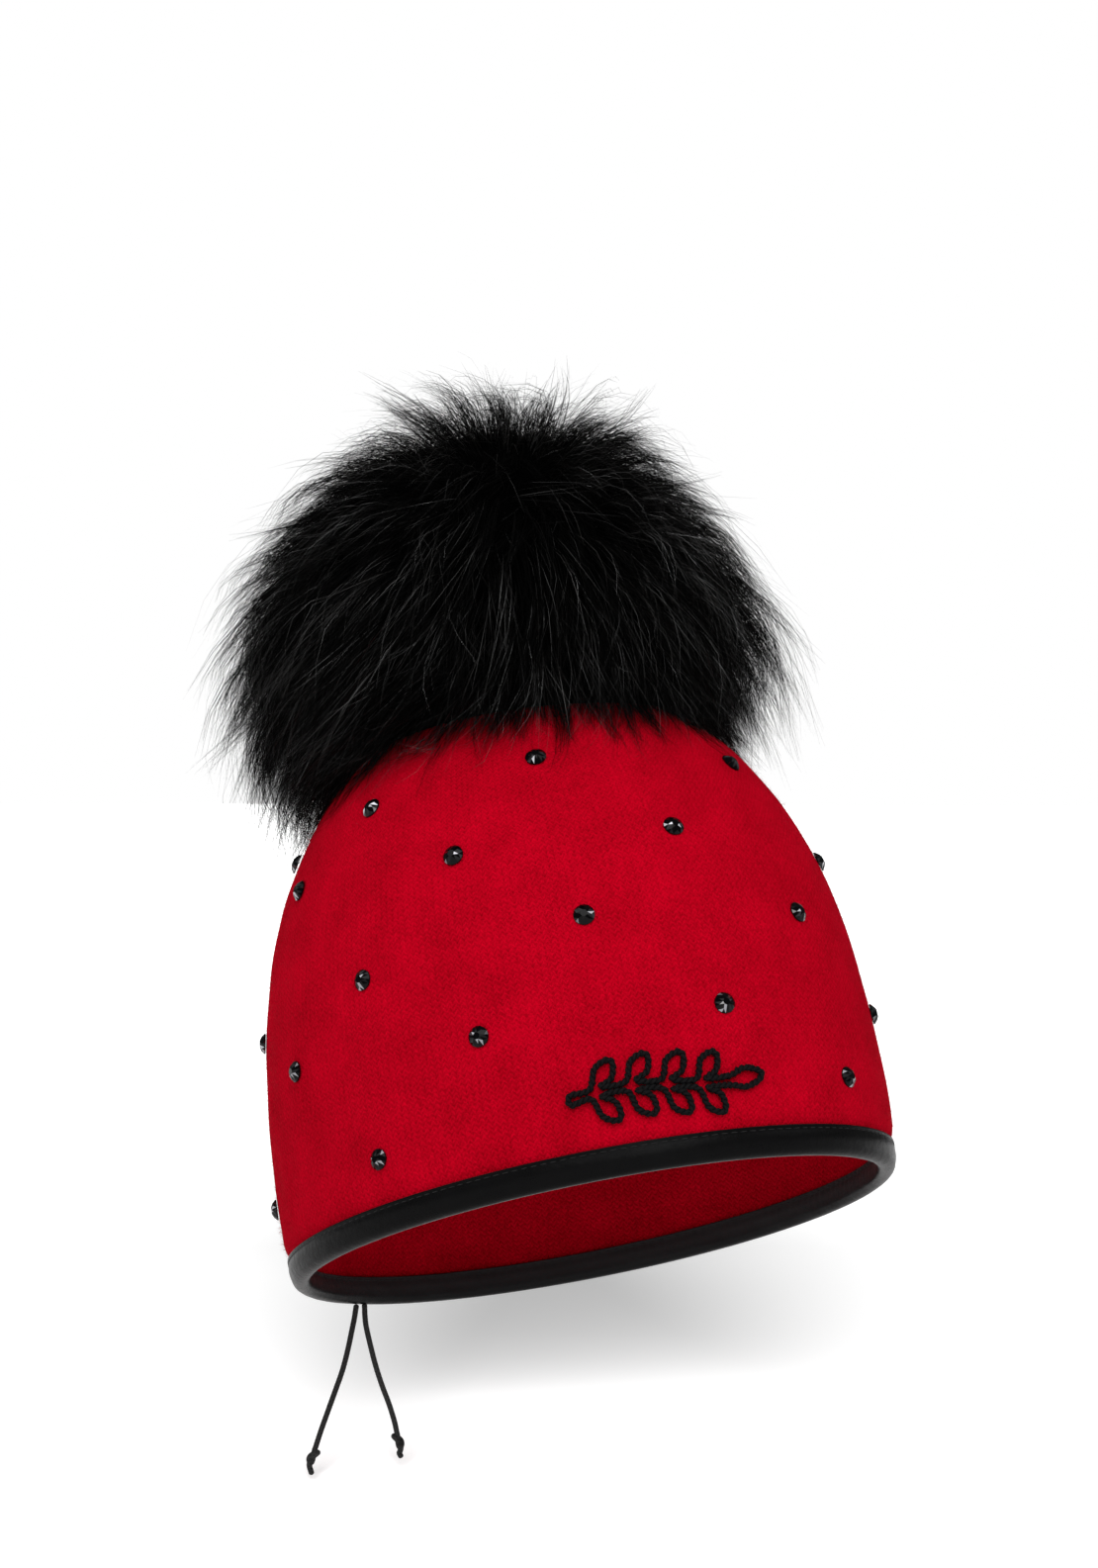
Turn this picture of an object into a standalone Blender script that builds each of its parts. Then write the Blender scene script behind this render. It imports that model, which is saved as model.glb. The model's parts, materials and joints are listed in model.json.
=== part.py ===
"""Bobble hat: a milled wool crown with a leather-bound edge, a fur pompom, faceted stones and a drawcord.

Metres, +Z up. The wearer looks along -Y, and +X is the wearer's left. The origin is the middle of the
head opening. The hat sits tipped back and a little to one side, as on a head, and its cord ends hang
straight down.
"""
import math

import bmesh
import bpy
import numpy as np
from mathutils import Matrix, Vector

# Head opening and crown
OPENING_WIDTH = 0.1676
OPENING_LENGTH = 0.1978
CROWN_HEIGHT = 0.173
CROWN_WALL = 0.0026
CROWN_LEAN = 0.0167
BULGE = 0.020
BULGE_HEIGHT = 0.018
DOME_POWER = 3.13
TIP_BACK = math.radians(16.75)
TIP_SIDE = math.radians(4.66)

# Leather binding
BINDING_HEIGHT = 0.0085
BINDING_FLOOR = 0.0016
LEATHER = 0.0010
CLEARANCE = 0.0003
TUCK_HEIGHT = 0.005

# Stones
STONE_RADIUS = 0.0032
STONE_HEIGHT = 0.0019
STONE_GIRDLE = 0.0004
STONE_TABLE_RADIUS = 0.0010
STONE_SIDES = 8
STONE_GAP = 0.0002

# Couched cord motif, the outline of a sprig with pairs of leaves and one at its end
MOTIF_CORD = 0.0020
MOTIF_BEARING = math.radians(-37)
MOTIF_RISE = 0.0235
MOTIF_LENGTH = 0.059
MOTIF_WAVE = 0.0012
MOTIF_STEM_WIDTH = 0.0028
MOTIF_LEAF_LENGTH = 0.0088
MOTIF_LEAF_WIDTH = 0.0056
MOTIF_LEAF_NECK = 0.0032
MOTIF_TIP_WIDTH = 0.0022
MOTIF_LEAF_LEAN = math.radians(38)
MOTIF_LEAF_BELLY = 0.55
MOTIF_STEP = 0.0023
MOTIF_SIDES_RESOLUTION = 1

# Pompom
POMPOM_RADIUS = 0.080
POMPOM_RISE = 0.0286
POMPOM_SEAT_GAP = 0.0005
LOCK_DEPTH = 0.007
LOCK_LIFT = 0.009
LOCK_DROOP = 0.8
SKIRT_LIFT = math.radians(1)
LOCKS_START = 0.25
LOCKS_AROUND = 18
LOCK_COLUMNS = 3
TIER_RINGS = 3

# Drawcord ends
CORD_DIAMETER = 0.00175
CORD_SPACING = 0.0038
CORD_BEARING = math.radians(-177.5)
CORD_STEP = 0.0043
CORD_RESOLUTION = 2
KNOT_WIDTH = 0.0046
KNOT_LENGTH = 0.0062
KNOT_ROLL = 0.12
KNOT_TAIL = 0.0022
KNOT_TAIL_SLANT = math.radians(33)
KNOT_TAIL_SHARPNESS = 12

# Mesh fineness
AROUND = 52
DOME_RINGS = 14
LINING_RINGS = 11
FOLD_STEPS = 5
POMPOM_RINGS = 21
SEAT_RINGS = 9

# One row a stone: bearing from the front towards +X in degrees, height as a share of the crown's
STONE_ROWS = (
    ("rim", ((4.5, 0.132), (49, 0.132), (94, 0.132), (139, 0.132), (175, 0.132), (-140.5, 0.143),
             (-92.8, 0.125))),
    ("low", ((-23.5, 0.264), (29, 0.273), (67, 0.277), (111, 0.277), (156, 0.277), (-159, 0.290),
             (-114, 0.333), (-69, 0.279))),
    ("middle", ((1.2, 0.428), (45, 0.436), (89, 0.436), (133, 0.436), (177, 0.436), (-138, 0.436),
                (-91.5, 0.436), (-46.2, 0.449))),
    ("high", ((-23.2, 0.592), (28, 0.560), (67, 0.600), (111, 0.600), (156, 0.600), (-161, 0.620),
              (-116.2, 0.657), (-69.2, 0.606))),
    ("top", ((7, 0.734), (50, 0.740), (92, 0.740), (134, 0.740), (178, 0.740), (-131.5, 0.734),
             (-91.8, 0.749), (-47.8, 0.762))),
)

# Places of the leaf pairs' necks and of the end leaf's, as shares of the stem
MOTIF_PAIRS = (0.10, 0.28, 0.46, 0.64)
MOTIF_END_LEAF = 0.82

# Share of the way from the top to the seat's edge, and reach of the fur there as a share of the radius
POMPOM_REACH = (
    (0.00, 0.74),
    (0.22, 0.79),
    (0.45, 0.89),
    (0.67, 0.98),
    (0.87, 1.07),
    (0.96, 1.10),
    (1.00, 1.08),
)

# Route of each cord end from its exit, in metres: towards +X, towards +Y, up
CORD_ROUTES = {
    "left": (
        (0.0, 0.0, 0.0),
        (-0.0007, 0.0001, -0.0035),
        (-0.0016, 0.0002, -0.0069),
        (-0.0033, 0.0004, -0.0131),
        (-0.0055, 0.0006, -0.0194),
        (-0.0083, 0.0010, -0.0256),
        (-0.0114, 0.0013, -0.0319),
        (-0.0144, 0.0016, -0.0381),
        (-0.0166, 0.0019, -0.0433),
    ),
    "right": (
        (0.0, 0.0, 0.0),
        (0.0002, 0.0000, -0.0035),
        (0.0007, -0.0001, -0.0069),
        (0.0025, -0.0003, -0.0131),
        (0.0046, -0.0005, -0.0194),
        (0.0071, -0.0008, -0.0256),
        (0.0100, -0.0012, -0.0319),
        (0.0122, -0.0014, -0.0374),
        (0.0133, -0.0015, -0.0412),
    ),
}

HALF_WIDTH = OPENING_WIDTH / 2
HALF_LENGTH = OPENING_LENGTH / 2
CROWN_TUCK = LEATHER + CLEARANCE
BINDING_THICKNESS = 2 * (LEATHER + CLEARANCE) + CROWN_WALL


def material(name, colour, roughness, metallic=0.0):
    """Makes a plain material with one colour."""
    made = bpy.data.materials.new(name)
    made.use_nodes = True
    shader = made.node_tree.nodes["Principled BSDF"]
    shader.inputs["Base Color"].default_value = (*colour, 1.0)
    shader.inputs["Roughness"].default_value = roughness
    shader.inputs["Metallic"].default_value = metallic
    return made


def add_object(name, data, finish, parent=None):
    """Links a mesh or curve to the scene under its node's name."""
    data.materials.append(finish)
    made = bpy.data.objects.new(name, data)
    bpy.context.scene.collection.objects.link(made)
    made.parent = parent
    return made


def mesh_from(name, work, sharp_angle=math.radians(35)):
    """Turns a bmesh into a mesh with outward faces, smooth up to the given angle."""
    bmesh.ops.recalc_face_normals(work, faces=work.faces[:])
    mesh = bpy.data.meshes.new(name)
    work.to_mesh(mesh)
    work.free()
    mesh.shade_smooth()
    mesh.set_sharp_from_angle(angle=sharp_angle)
    return mesh


def dome_profile(height, crown_height):
    """Share of the opening's size that the crown has at a height, first a bulge and then the dome."""
    if height < BULGE_HEIGHT:
        return 1 + BULGE * math.sin(max(height, 0.0) / BULGE_HEIGHT * math.pi / 2)
    share = min((height - BULGE_HEIGHT) / (crown_height - BULGE_HEIGHT), 1.0)
    return (1 + BULGE) * math.sqrt(1 - share ** DOME_POWER)


def crown_point(bearing, height, inset=0.0):
    """Point on the crown's outline, moved inwards by inset, in the hat's own axes."""
    crown_height = CROWN_HEIGHT - inset
    rounding = min(height / crown_height, 1.0) ** 2
    length = HALF_LENGTH + (HALF_WIDTH - HALF_LENGTH) * rounding
    profile = dome_profile(height, crown_height)
    x = (HALF_WIDTH - inset) * profile * math.sin(bearing)
    y = -(length - inset) * profile * math.cos(bearing) - CROWN_LEAN * height
    return Vector((x, y, height))


def crown_normal(bearing, height):
    """Outward normal of the crown's outline."""
    turn, rise = 0.01, 0.0005
    along = crown_point(bearing + turn, height) - crown_point(bearing - turn, height)
    upwards = crown_point(bearing, height + rise) - crown_point(bearing, height - rise)
    return along.cross(upwards).normalized()


def tuck(height):
    """How far the crown is drawn in under the binding, easing out above it."""
    share = min(max((height - BINDING_HEIGHT) / TUCK_HEIGHT, 0.0), 1.0)
    return CROWN_TUCK * (1 - share * share * (3 - 2 * share))


def ring(work, points):
    """Adds one ring of vertices."""
    return [work.verts.new(point) for point in points]


def bridge(work, lower, upper):
    """Joins two rings of the same length with quads."""
    count = len(lower)
    for i in range(count):
        j = (i + 1) % count
        work.faces.new((lower[i], lower[j], upper[j], upper[i]))


def fan(work, loop, point):
    """Closes a ring with triangles to one point."""
    tip = work.verts.new(point)
    for i in range(len(loop)):
        work.faces.new((loop[i], loop[(i + 1) % len(loop)], tip))


def bearings(count):
    """Evenly spaced bearings all round, from the front."""
    return [2 * math.pi * i / count for i in range(count)]


def wall_heights(rings, top):
    """Heights of a wall's rings: four at the binding, then closer together towards the top."""
    low = [BINDING_FLOOR + CLEARANCE] + [BINDING_HEIGHT + TUCK_HEIGHT * share for share in (0, 0.5, 1)]
    high = [low[-1] + (top - low[-1]) * math.sin(math.pi / 2 * i / rings) for i in range(1, rings)]
    return low + high


def make_crown(axes, finish):
    """Dome-shaped wall of milled knit, open at the bottom."""
    work = bmesh.new()
    outer = [
        ring(work, [crown_point(b, z, tuck(z)) for b in bearings(AROUND)])
        for z in wall_heights(DOME_RINGS, CROWN_HEIGHT)
    ]
    inner = [
        ring(work, [crown_point(b, z, tuck(z) + CROWN_WALL) for b in bearings(AROUND)])
        for z in wall_heights(LINING_RINGS, CROWN_HEIGHT - CROWN_WALL)
    ]
    for rings in (outer, inner):
        for lower, upper in zip(rings, rings[1:]):
            bridge(work, lower, upper)
    bridge(work, outer[0], inner[0])
    fan(work, outer[-1], crown_point(0.0, CROWN_HEIGHT))
    fan(work, inner[-1], crown_point(0.0, CROWN_HEIGHT - CROWN_WALL, CROWN_WALL))
    add_object("crown", mesh_from("crown", work), finish, axes)


def binding_section():
    """U-shaped section as pairs of inset and height, with a round fold at its lower edge."""
    radius = BINDING_THICKNESS / 2
    section = [(0.0, BINDING_HEIGHT), (0.0, (BINDING_HEIGHT + radius) / 2)]
    for i in range(FOLD_STEPS + 1):
        angle = math.pi * i / FOLD_STEPS
        section.append((radius * (1 - math.cos(angle)), radius * (1 - math.sin(angle))))
    section += [
        (BINDING_THICKNESS, BINDING_HEIGHT),
        (BINDING_THICKNESS - LEATHER, BINDING_HEIGHT),
        (BINDING_THICKNESS - LEATHER, BINDING_FLOOR),
        (LEATHER, BINDING_FLOOR),
        (LEATHER, BINDING_HEIGHT),
    ]
    return section


def make_binding(axes, finish):
    """Leather strip folded over the crown's lower edge."""
    work = bmesh.new()
    section = binding_section()
    sections = [ring(work, [crown_point(b, z, inset) for inset, z in section]) for b in bearings(AROUND)]
    for i in range(AROUND):
        bridge(work, sections[i], sections[(i + 1) % AROUND])
    add_object("rim_binding", mesh_from("rim_binding", work), finish, axes)


def stone_mesh(finish):
    """Flat-backed stone: girdle, a crown of sixteen facets and a small table."""
    work = bmesh.new()
    step = 2 * math.pi / STONE_SIDES

    def level(radius, height, turned):
        return ring(work, [
            (radius * math.cos(step * (i + turned)), radius * math.sin(step * (i + turned)), height)
            for i in range(STONE_SIDES)
        ])

    back = level(STONE_RADIUS, 0.0, 0.0)
    girdle = level(STONE_RADIUS, STONE_GIRDLE, 0.0)
    table = level(STONE_TABLE_RADIUS, STONE_HEIGHT, 0.5)
    bridge(work, back, girdle)
    for i in range(STONE_SIDES):
        j = (i + 1) % STONE_SIDES
        work.faces.new((girdle[i], girdle[j], table[i]))
        work.faces.new((girdle[j], table[j], table[i]))
    work.faces.new(table)
    work.faces.new(back)
    mesh = mesh_from("stone", work, sharp_angle=math.radians(5))
    mesh.shade_flat()
    mesh.materials.append(finish)
    return mesh


def make_stones(axes, finish):
    """Five staggered rows of stones round the crown, each flat on the wool."""
    shared = stone_mesh(finish)
    places = [place for _, row in STONE_ROWS for place in row]
    for number, (degrees, share) in enumerate(places, start=1):
        bearing = math.radians(degrees)
        height = share * CROWN_HEIGHT
        normal = crown_normal(bearing, height)
        stone = bpy.data.objects.new(f"stone_{number:02d}", shared)
        bpy.context.scene.collection.objects.link(stone)
        stone.parent = axes
        stone.location = crown_point(bearing, height) + normal * STONE_GAP
        stone.rotation_euler = normal.to_track_quat("Z", "Y").to_euler()


def smooth_through(points, step, closed=False):
    """Points about a step apart on a smooth curve through the given points."""
    if closed:
        padded = [points[-1], *points, points[0], points[1]]
    else:
        padded = [2 * points[0] - points[1], *points, 2 * points[-1] - points[-2]]
    fine = []
    for a, b, c, d in zip(padded, padded[1:], padded[2:], padded[3:]):
        for i in range(16):
            t = i / 16
            fine.append(0.5 * (2 * b + (c - a) * t + (2 * a - 5 * b + 4 * c - d) * t ** 2
                               + (3 * b - a - 3 * c + d) * t ** 3))
    fine.append(padded[-2])
    lengths = [0.0]
    for a, b in zip(fine, fine[1:]):
        lengths.append(lengths[-1] + (b - a).length)
    count = max(round(lengths[-1] / step), 2)
    stations = np.linspace(0.0, lengths[-1], count + 1)
    columns = [np.interp(stations, lengths, [p[k] for p in fine]) for k in range(3)]
    smoothed = [Vector(p) for p in zip(*columns)]
    return smoothed[:-1] if closed else smoothed


def tube(name, points, diameter, resolution, finish, parent=None, closed=False):
    """Round cord along the points, with filled ends or in a closed loop."""
    curve = bpy.data.curves.new(name, "CURVE")
    curve.dimensions = "3D"
    curve.bevel_depth = diameter / 2
    curve.bevel_resolution = resolution
    curve.use_fill_caps = not closed
    spline = curve.splines.new("POLY")
    spline.use_cyclic_u = closed
    spline.points.add(len(points) - 1)
    for place, point in zip(spline.points, points):
        place.co = (*point, 1.0)
    return add_object(name, curve, finish, parent)


def motif_stem(share, side):
    """Point on one side of the sprig's stem: distance along the crown and rise."""
    wave = MOTIF_WAVE * math.sin(2 * math.pi * share)
    return Vector(((share - 0.5) * MOTIF_LENGTH, wave + side * MOTIF_STEM_WIDTH / 2, 0.0))


def motif_leaf(share, side):
    """Outline of one leaf from its foot round its tip and back to the stem."""
    foot = motif_stem(share, side)
    back_foot = motif_stem(share + MOTIF_LEAF_NECK / MOTIF_LENGTH, side)
    outwards = Vector((math.sin(MOTIF_LEAF_LEAN), side * math.cos(MOTIF_LEAF_LEAN), 0.0))
    across = Vector((math.cos(MOTIF_LEAF_LEAN), -side * math.sin(MOTIF_LEAF_LEAN), 0.0))
    belly = (foot + back_foot) / 2 + outwards * MOTIF_LEAF_LENGTH * MOTIF_LEAF_BELLY
    tip = (foot + back_foot) / 2 + outwards * MOTIF_LEAF_LENGTH
    return [
        foot,
        belly - across * MOTIF_LEAF_WIDTH / 2,
        tip - across * MOTIF_TIP_WIDTH / 2,
        tip + across * MOTIF_TIP_WIDTH / 2,
        belly + across * MOTIF_LEAF_WIDTH / 2,
        back_foot,
    ]


def motif_outline():
    """The sprig's one closed line: its upper leaves, then the end leaf, then its lower leaves."""
    upper = [point for share in MOTIF_PAIRS for point in motif_leaf(share, 1)]
    lower = [point for share in MOTIF_PAIRS for point in motif_leaf(share, -1)]
    end = motif_stem(1.0, 0)
    belly = (motif_stem(MOTIF_END_LEAF, 0) + end) / 2
    swell = Vector((0.0, MOTIF_LEAF_WIDTH / 2, 0.0))
    blunt = Vector((0.0, MOTIF_TIP_WIDTH / 2, 0.0))
    end_leaf = [
        motif_stem(MOTIF_END_LEAF, 1),
        belly + swell,
        end + blunt,
        end - blunt,
        belly - swell,
        motif_stem(MOTIF_END_LEAF, -1),
    ]
    return [motif_stem(0.0, 1), *upper, *end_leaf, *reversed(lower), motif_stem(0.0, -1)]


def make_motif(axes, finish):
    """Cord couched on the wool in the form of a sprig."""
    lift = MOTIF_CORD / 2 + CLEARANCE
    centre = crown_point(MOTIF_BEARING, MOTIF_RISE)
    radius = math.hypot(centre.x, centre.y)
    points = []
    for along, rise, _ in smooth_through(motif_outline(), MOTIF_STEP, closed=True):
        bearing = MOTIF_BEARING + along / radius
        height = MOTIF_RISE + rise
        points.append(crown_point(bearing, height) + crown_normal(bearing, height) * lift)
    tube("motif", points, MOTIF_CORD, MOTIF_SIDES_RESOLUTION, finish, axes, closed=True)


def pompom_centre():
    """Middle of the pompom, above the crown's top along the hat's own lean."""
    return crown_point(0.0, CROWN_HEIGHT) + Vector((0.0, -CROWN_LEAN * POMPOM_RISE, POMPOM_RISE))


def seat_edge(bearing):
    """Height on the crown where a line from the pompom's middle just touches it."""
    low, high = BULGE_HEIGHT, CROWN_HEIGHT
    while high - low > CLEARANCE / 10:
        middle = (low + high) / 2
        sight = crown_point(bearing, middle, -POMPOM_SEAT_GAP) - pompom_centre()
        if crown_normal(bearing, middle).dot(sight) > 0:
            low = middle
        else:
            high = middle
    return high


def reach_of_fur(share):
    """Distance from the pompom's middle to the outside of its fur."""
    shares, reaches = zip(*POMPOM_REACH)
    return POMPOM_RADIUS * float(np.interp(share, shares, reaches))


def pompom_column(bearing, column):
    """One line of the pompom's surface from its top over the locks to the middle of its seat."""
    centre = pompom_centre()
    edge = seat_edge(bearing)
    sight = crown_point(bearing, edge, -POMPOM_SEAT_GAP) - centre
    edge_angle = math.atan2(sight.xy.length, sight.z) - SKIRT_LIFT
    line = []
    for k in range(1, POMPOM_RINGS + 1):
        share = k / POMPOM_RINGS
        tier, phase = divmod(k - 1, TIER_RINGS)
        growth = phase / (TIER_RINGS - 1)
        if (column + tier * 2) % LOCK_COLUMNS:
            relief = -LOCK_DEPTH * growth
            droop = 0.0
        else:
            relief = LOCK_LIFT * growth
            droop = LOCK_DROOP * growth / POMPOM_RINGS
        relief *= min(share / LOCKS_START, 1.0)
        angle = edge_angle * min(share + droop, 1.0)
        out = math.sin(angle)
        direction = Vector((out * math.sin(bearing), -out * math.cos(bearing), math.cos(angle)))
        line.append(centre + direction * (reach_of_fur(share) + relief))
    for k in range(SEAT_RINGS):
        height = edge + (CROWN_HEIGHT - edge) * math.sin(math.pi / 2 * k / SEAT_RINGS)
        line.append(crown_point(bearing, height, -POMPOM_SEAT_GAP))
    return line


def make_pompom(axes, finish):
    """Ball of long fur in tiers of pointed locks, its underside fitted to the crown's top."""
    work = bmesh.new()
    columns = LOCKS_AROUND * LOCK_COLUMNS
    lines = [pompom_column(b, column) for column, b in enumerate(bearings(columns))]
    rings = [ring(work, level) for level in zip(*lines)]
    for upper, lower in zip(rings, rings[1:]):
        bridge(work, lower, upper)
    fan(work, rings[0], pompom_centre() + Vector((0.0, 0.0, reach_of_fur(0.0))))
    fan(work, rings[-1], crown_point(0.0, CROWN_HEIGHT) + Vector((0.0, 0.0, POMPOM_SEAT_GAP)))
    add_object("pompom", mesh_from("pompom", work, sharp_angle=math.radians(60)), finish, axes)


def knot_mesh(side):
    """Overhand knot as one lump with two rolls of cord round it and a short tail."""
    work = bmesh.new()
    bmesh.ops.create_icosphere(work, subdivisions=3, radius=1.0)
    tail = Vector((side * math.sin(KNOT_TAIL_SLANT), 0.0, -math.cos(KNOT_TAIL_SLANT)))
    for vert in work.verts:
        direction = vert.co.normalized()
        rolls = 1 + KNOT_ROLL * math.cos(2 * math.atan2(direction.z, direction.x) + side)
        stub = max(direction.dot(tail), 0.0) ** KNOT_TAIL_SHARPNESS
        body = direction * Vector((KNOT_WIDTH / 2, KNOT_WIDTH / 2, KNOT_LENGTH / 2))
        vert.co = body * rolls + direction * KNOT_TAIL * stub
    return mesh_from("knot", work)


def make_cord_end(side, outwards, cord_finish, axes_matrix):
    """One free end of the drawcord with its knot, straight down from the back of the binding."""
    fold = crown_point(CORD_BEARING, 0.0, BINDING_THICKNESS / 2)
    back = axes_matrix @ fold
    half_face = CORD_DIAMETER / 2 * math.tan(TIP_BACK)
    exit_point = back + Vector((outwards * CORD_SPACING / 2, 0.0, -CLEARANCE - half_face))
    route = [exit_point + Vector(step) for step in CORD_ROUTES[side]]
    tube(f"cord_{side}", smooth_through(route, CORD_STEP), CORD_DIAMETER, CORD_RESOLUTION, cord_finish)
    along = (route[-1] - route[-2]).normalized()
    lump = knot_mesh(outwards)
    top = max(vertex.co.z for vertex in lump.vertices)
    knot = add_object(f"knot_{side}", lump, cord_finish)
    knot.location = route[-1] + along * (top + CLEARANCE)
    knot.rotation_euler = (-along).to_track_quat("Z", "Y").to_euler()


def main():
    for old in list(bpy.data.objects):
        bpy.data.objects.remove(old, do_unlink=True)

    axes = bpy.data.objects.new("hat_axes", None)
    bpy.context.scene.collection.objects.link(axes)
    turned = Matrix.Rotation(TIP_SIDE, 4, "Y") @ Matrix.Rotation(-TIP_BACK, 4, "X")
    axes.rotation_euler = turned.to_euler()

    wool = material("milled_wool", (0.445, 0.0012, 0.012), 0.9)
    leather = material("nappa_leather", (0.012, 0.012, 0.012), 0.42)
    fur = material("fur", (0.004, 0.004, 0.004), 0.6)
    crystal = material("stone", (0.006, 0.006, 0.007), 0.08)
    yarn = material("couched_yarn", (0.010, 0.010, 0.011), 0.7)
    elastic = material("braided_cord", (0.010, 0.010, 0.010), 0.65)

    make_crown(axes, wool)
    make_binding(axes, leather)
    make_stones(axes, crystal)
    make_motif(axes, yarn)
    make_pompom(axes, fur)
    make_cord_end("left", -1, elastic, turned)
    make_cord_end("right", 1, elastic, turned)


main()
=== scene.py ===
"""Bobble hat: milled red knit with a leather edge, black fur pompom, crystals, couched sprig and drawcord.

Metres, +Z up, in the part's own frame. Heights and bearings on the crown are in the hat's own axes, which sit
tipped back and a little to one side; on_head() turns them to the part's frame.
"""
import json
import math

import bmesh
import bpy
import numpy as np
from mathutils import Matrix, Vector

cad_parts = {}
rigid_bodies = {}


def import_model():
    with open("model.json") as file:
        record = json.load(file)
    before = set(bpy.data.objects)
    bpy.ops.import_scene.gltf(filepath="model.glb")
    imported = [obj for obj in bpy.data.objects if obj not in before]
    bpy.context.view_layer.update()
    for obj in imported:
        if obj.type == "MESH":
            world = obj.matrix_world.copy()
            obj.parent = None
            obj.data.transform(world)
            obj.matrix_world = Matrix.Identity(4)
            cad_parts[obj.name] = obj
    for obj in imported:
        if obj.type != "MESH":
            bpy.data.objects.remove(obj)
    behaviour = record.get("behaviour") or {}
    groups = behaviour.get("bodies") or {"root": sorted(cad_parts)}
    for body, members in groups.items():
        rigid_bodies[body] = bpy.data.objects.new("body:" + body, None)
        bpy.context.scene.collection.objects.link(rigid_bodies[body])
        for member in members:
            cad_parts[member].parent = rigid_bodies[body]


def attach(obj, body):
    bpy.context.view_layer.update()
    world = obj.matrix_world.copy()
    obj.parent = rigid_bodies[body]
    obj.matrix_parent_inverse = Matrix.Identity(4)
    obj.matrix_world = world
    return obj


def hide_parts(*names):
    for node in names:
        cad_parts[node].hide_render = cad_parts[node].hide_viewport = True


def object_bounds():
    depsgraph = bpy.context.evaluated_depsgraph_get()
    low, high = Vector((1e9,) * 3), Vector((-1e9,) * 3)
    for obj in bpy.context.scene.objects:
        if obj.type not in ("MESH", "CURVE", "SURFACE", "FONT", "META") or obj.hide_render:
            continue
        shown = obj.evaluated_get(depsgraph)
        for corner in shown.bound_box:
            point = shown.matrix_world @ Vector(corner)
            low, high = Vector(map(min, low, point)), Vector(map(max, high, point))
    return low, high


for old in list(bpy.data.objects):
    bpy.data.objects.remove(old, do_unlink=True)
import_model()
CAD_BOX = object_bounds()

bl_info = {
    "name": "Bobble Hat",
    "version": (1, 0, 0),
    "blender": (4, 5, 0),
    "location": "View3D > Sidebar > Bobble Hat",
    "description": "Dresses the bobble hat: wool, leather edge, fur pompom, crystals, sprig and drawcord",
    "category": "Add Mesh",
}

# The crown's form, as the part has it
HALF_WIDTH = 0.1676 / 2
HALF_LENGTH = 0.1978 / 2
CROWN_HEIGHT = 0.173
CROWN_WALL = 0.0026
CROWN_LEAN = 0.0167
BULGE = 0.020
BULGE_HEIGHT = 0.018
DOME_POWER = 3.13
# Length once round the crown at its mean size
CROWN_GIRTH = 2 * np.pi * HALF_LENGTH * 0.92
# How near the rings of points come to the pole, as a share of the height
POLE_SHARE = 0.99996
TIP_BACK = math.radians(16.75)
TIP_SIDE = math.radians(4.66)
HAT_AXES = Matrix.Rotation(TIP_SIDE, 4, "Y") @ Matrix.Rotation(-TIP_BACK, 4, "X")

BINDING_HEIGHT = 0.0085
BINDING_FLOOR = 0.0016
LEATHER = 0.0010
CLEARANCE = 0.0003
CROWN_TUCK = LEATHER + CLEARANCE
BINDING_THICKNESS = 2 * CROWN_TUCK + CROWN_WALL
TUCK_HEIGHT = 0.005

# The stones, row by row from the rim up: bearing from the front towards +X in degrees, share of the height
STONE_PLACES = (
    (4.5, 0.132), (49, 0.132), (94, 0.132), (139, 0.132), (175, 0.132), (-140.5, 0.143), (-92.8, 0.125),
    (-23.5, 0.264), (29, 0.273), (67, 0.277), (111, 0.277), (156, 0.277), (-159, 0.290), (-114, 0.333),
    (-69, 0.279),
    (1.2, 0.428), (45, 0.436), (89, 0.436), (133, 0.436), (177, 0.436), (-138, 0.436), (-91.5, 0.436),
    (-46.2, 0.449),
    (-23.2, 0.592), (28, 0.560), (67, 0.600), (111, 0.600), (156, 0.600), (-161, 0.620), (-116.2, 0.657),
    (-69.2, 0.606),
    (7, 0.734), (50, 0.740), (92, 0.740), (134, 0.740), (178, 0.740), (-131.5, 0.734), (-91.8, 0.749),
    (-47.8, 0.762),
)
STONE_GAP = 0.0002

# The sprig's outline, as the part has it
MOTIF_CORD = 0.0020
MOTIF_BEARING = math.radians(-37)
MOTIF_RISE = 0.0235
MOTIF_LENGTH = 0.059
MOTIF_WAVE = 0.0012
MOTIF_STEM_WIDTH = 0.0028
MOTIF_LEAF_LENGTH = 0.0088
MOTIF_LEAF_WIDTH = 0.0056
MOTIF_LEAF_NECK = 0.0032
MOTIF_TIP_WIDTH = 0.0022
MOTIF_LEAF_LEAN = math.radians(38)
MOTIF_LEAF_BELLY = 0.55
MOTIF_PAIRS = (0.10, 0.28, 0.46, 0.64)
MOTIF_END_LEAF = 0.82

# The pompom's form: share of the way from its top to the seat's edge, and reach as a share of the radius
POMPOM_RADIUS = 0.080
POMPOM_RISE = 0.0286
POMPOM_SEAT_GAP = 0.0005
SKIRT_LIFT = math.radians(1)
POMPOM_REACH = (
    (0.00, 0.74), (0.22, 0.79), (0.45, 0.89), (0.67, 0.98), (0.87, 1.07), (0.96, 1.10), (1.00, 1.08),
)
# Share of that reach that the dense core fills, and how far the hairs keep off the crown
CORE_DEPTH = 0.83
HAIR_CLEAR = 0.0006

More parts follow.
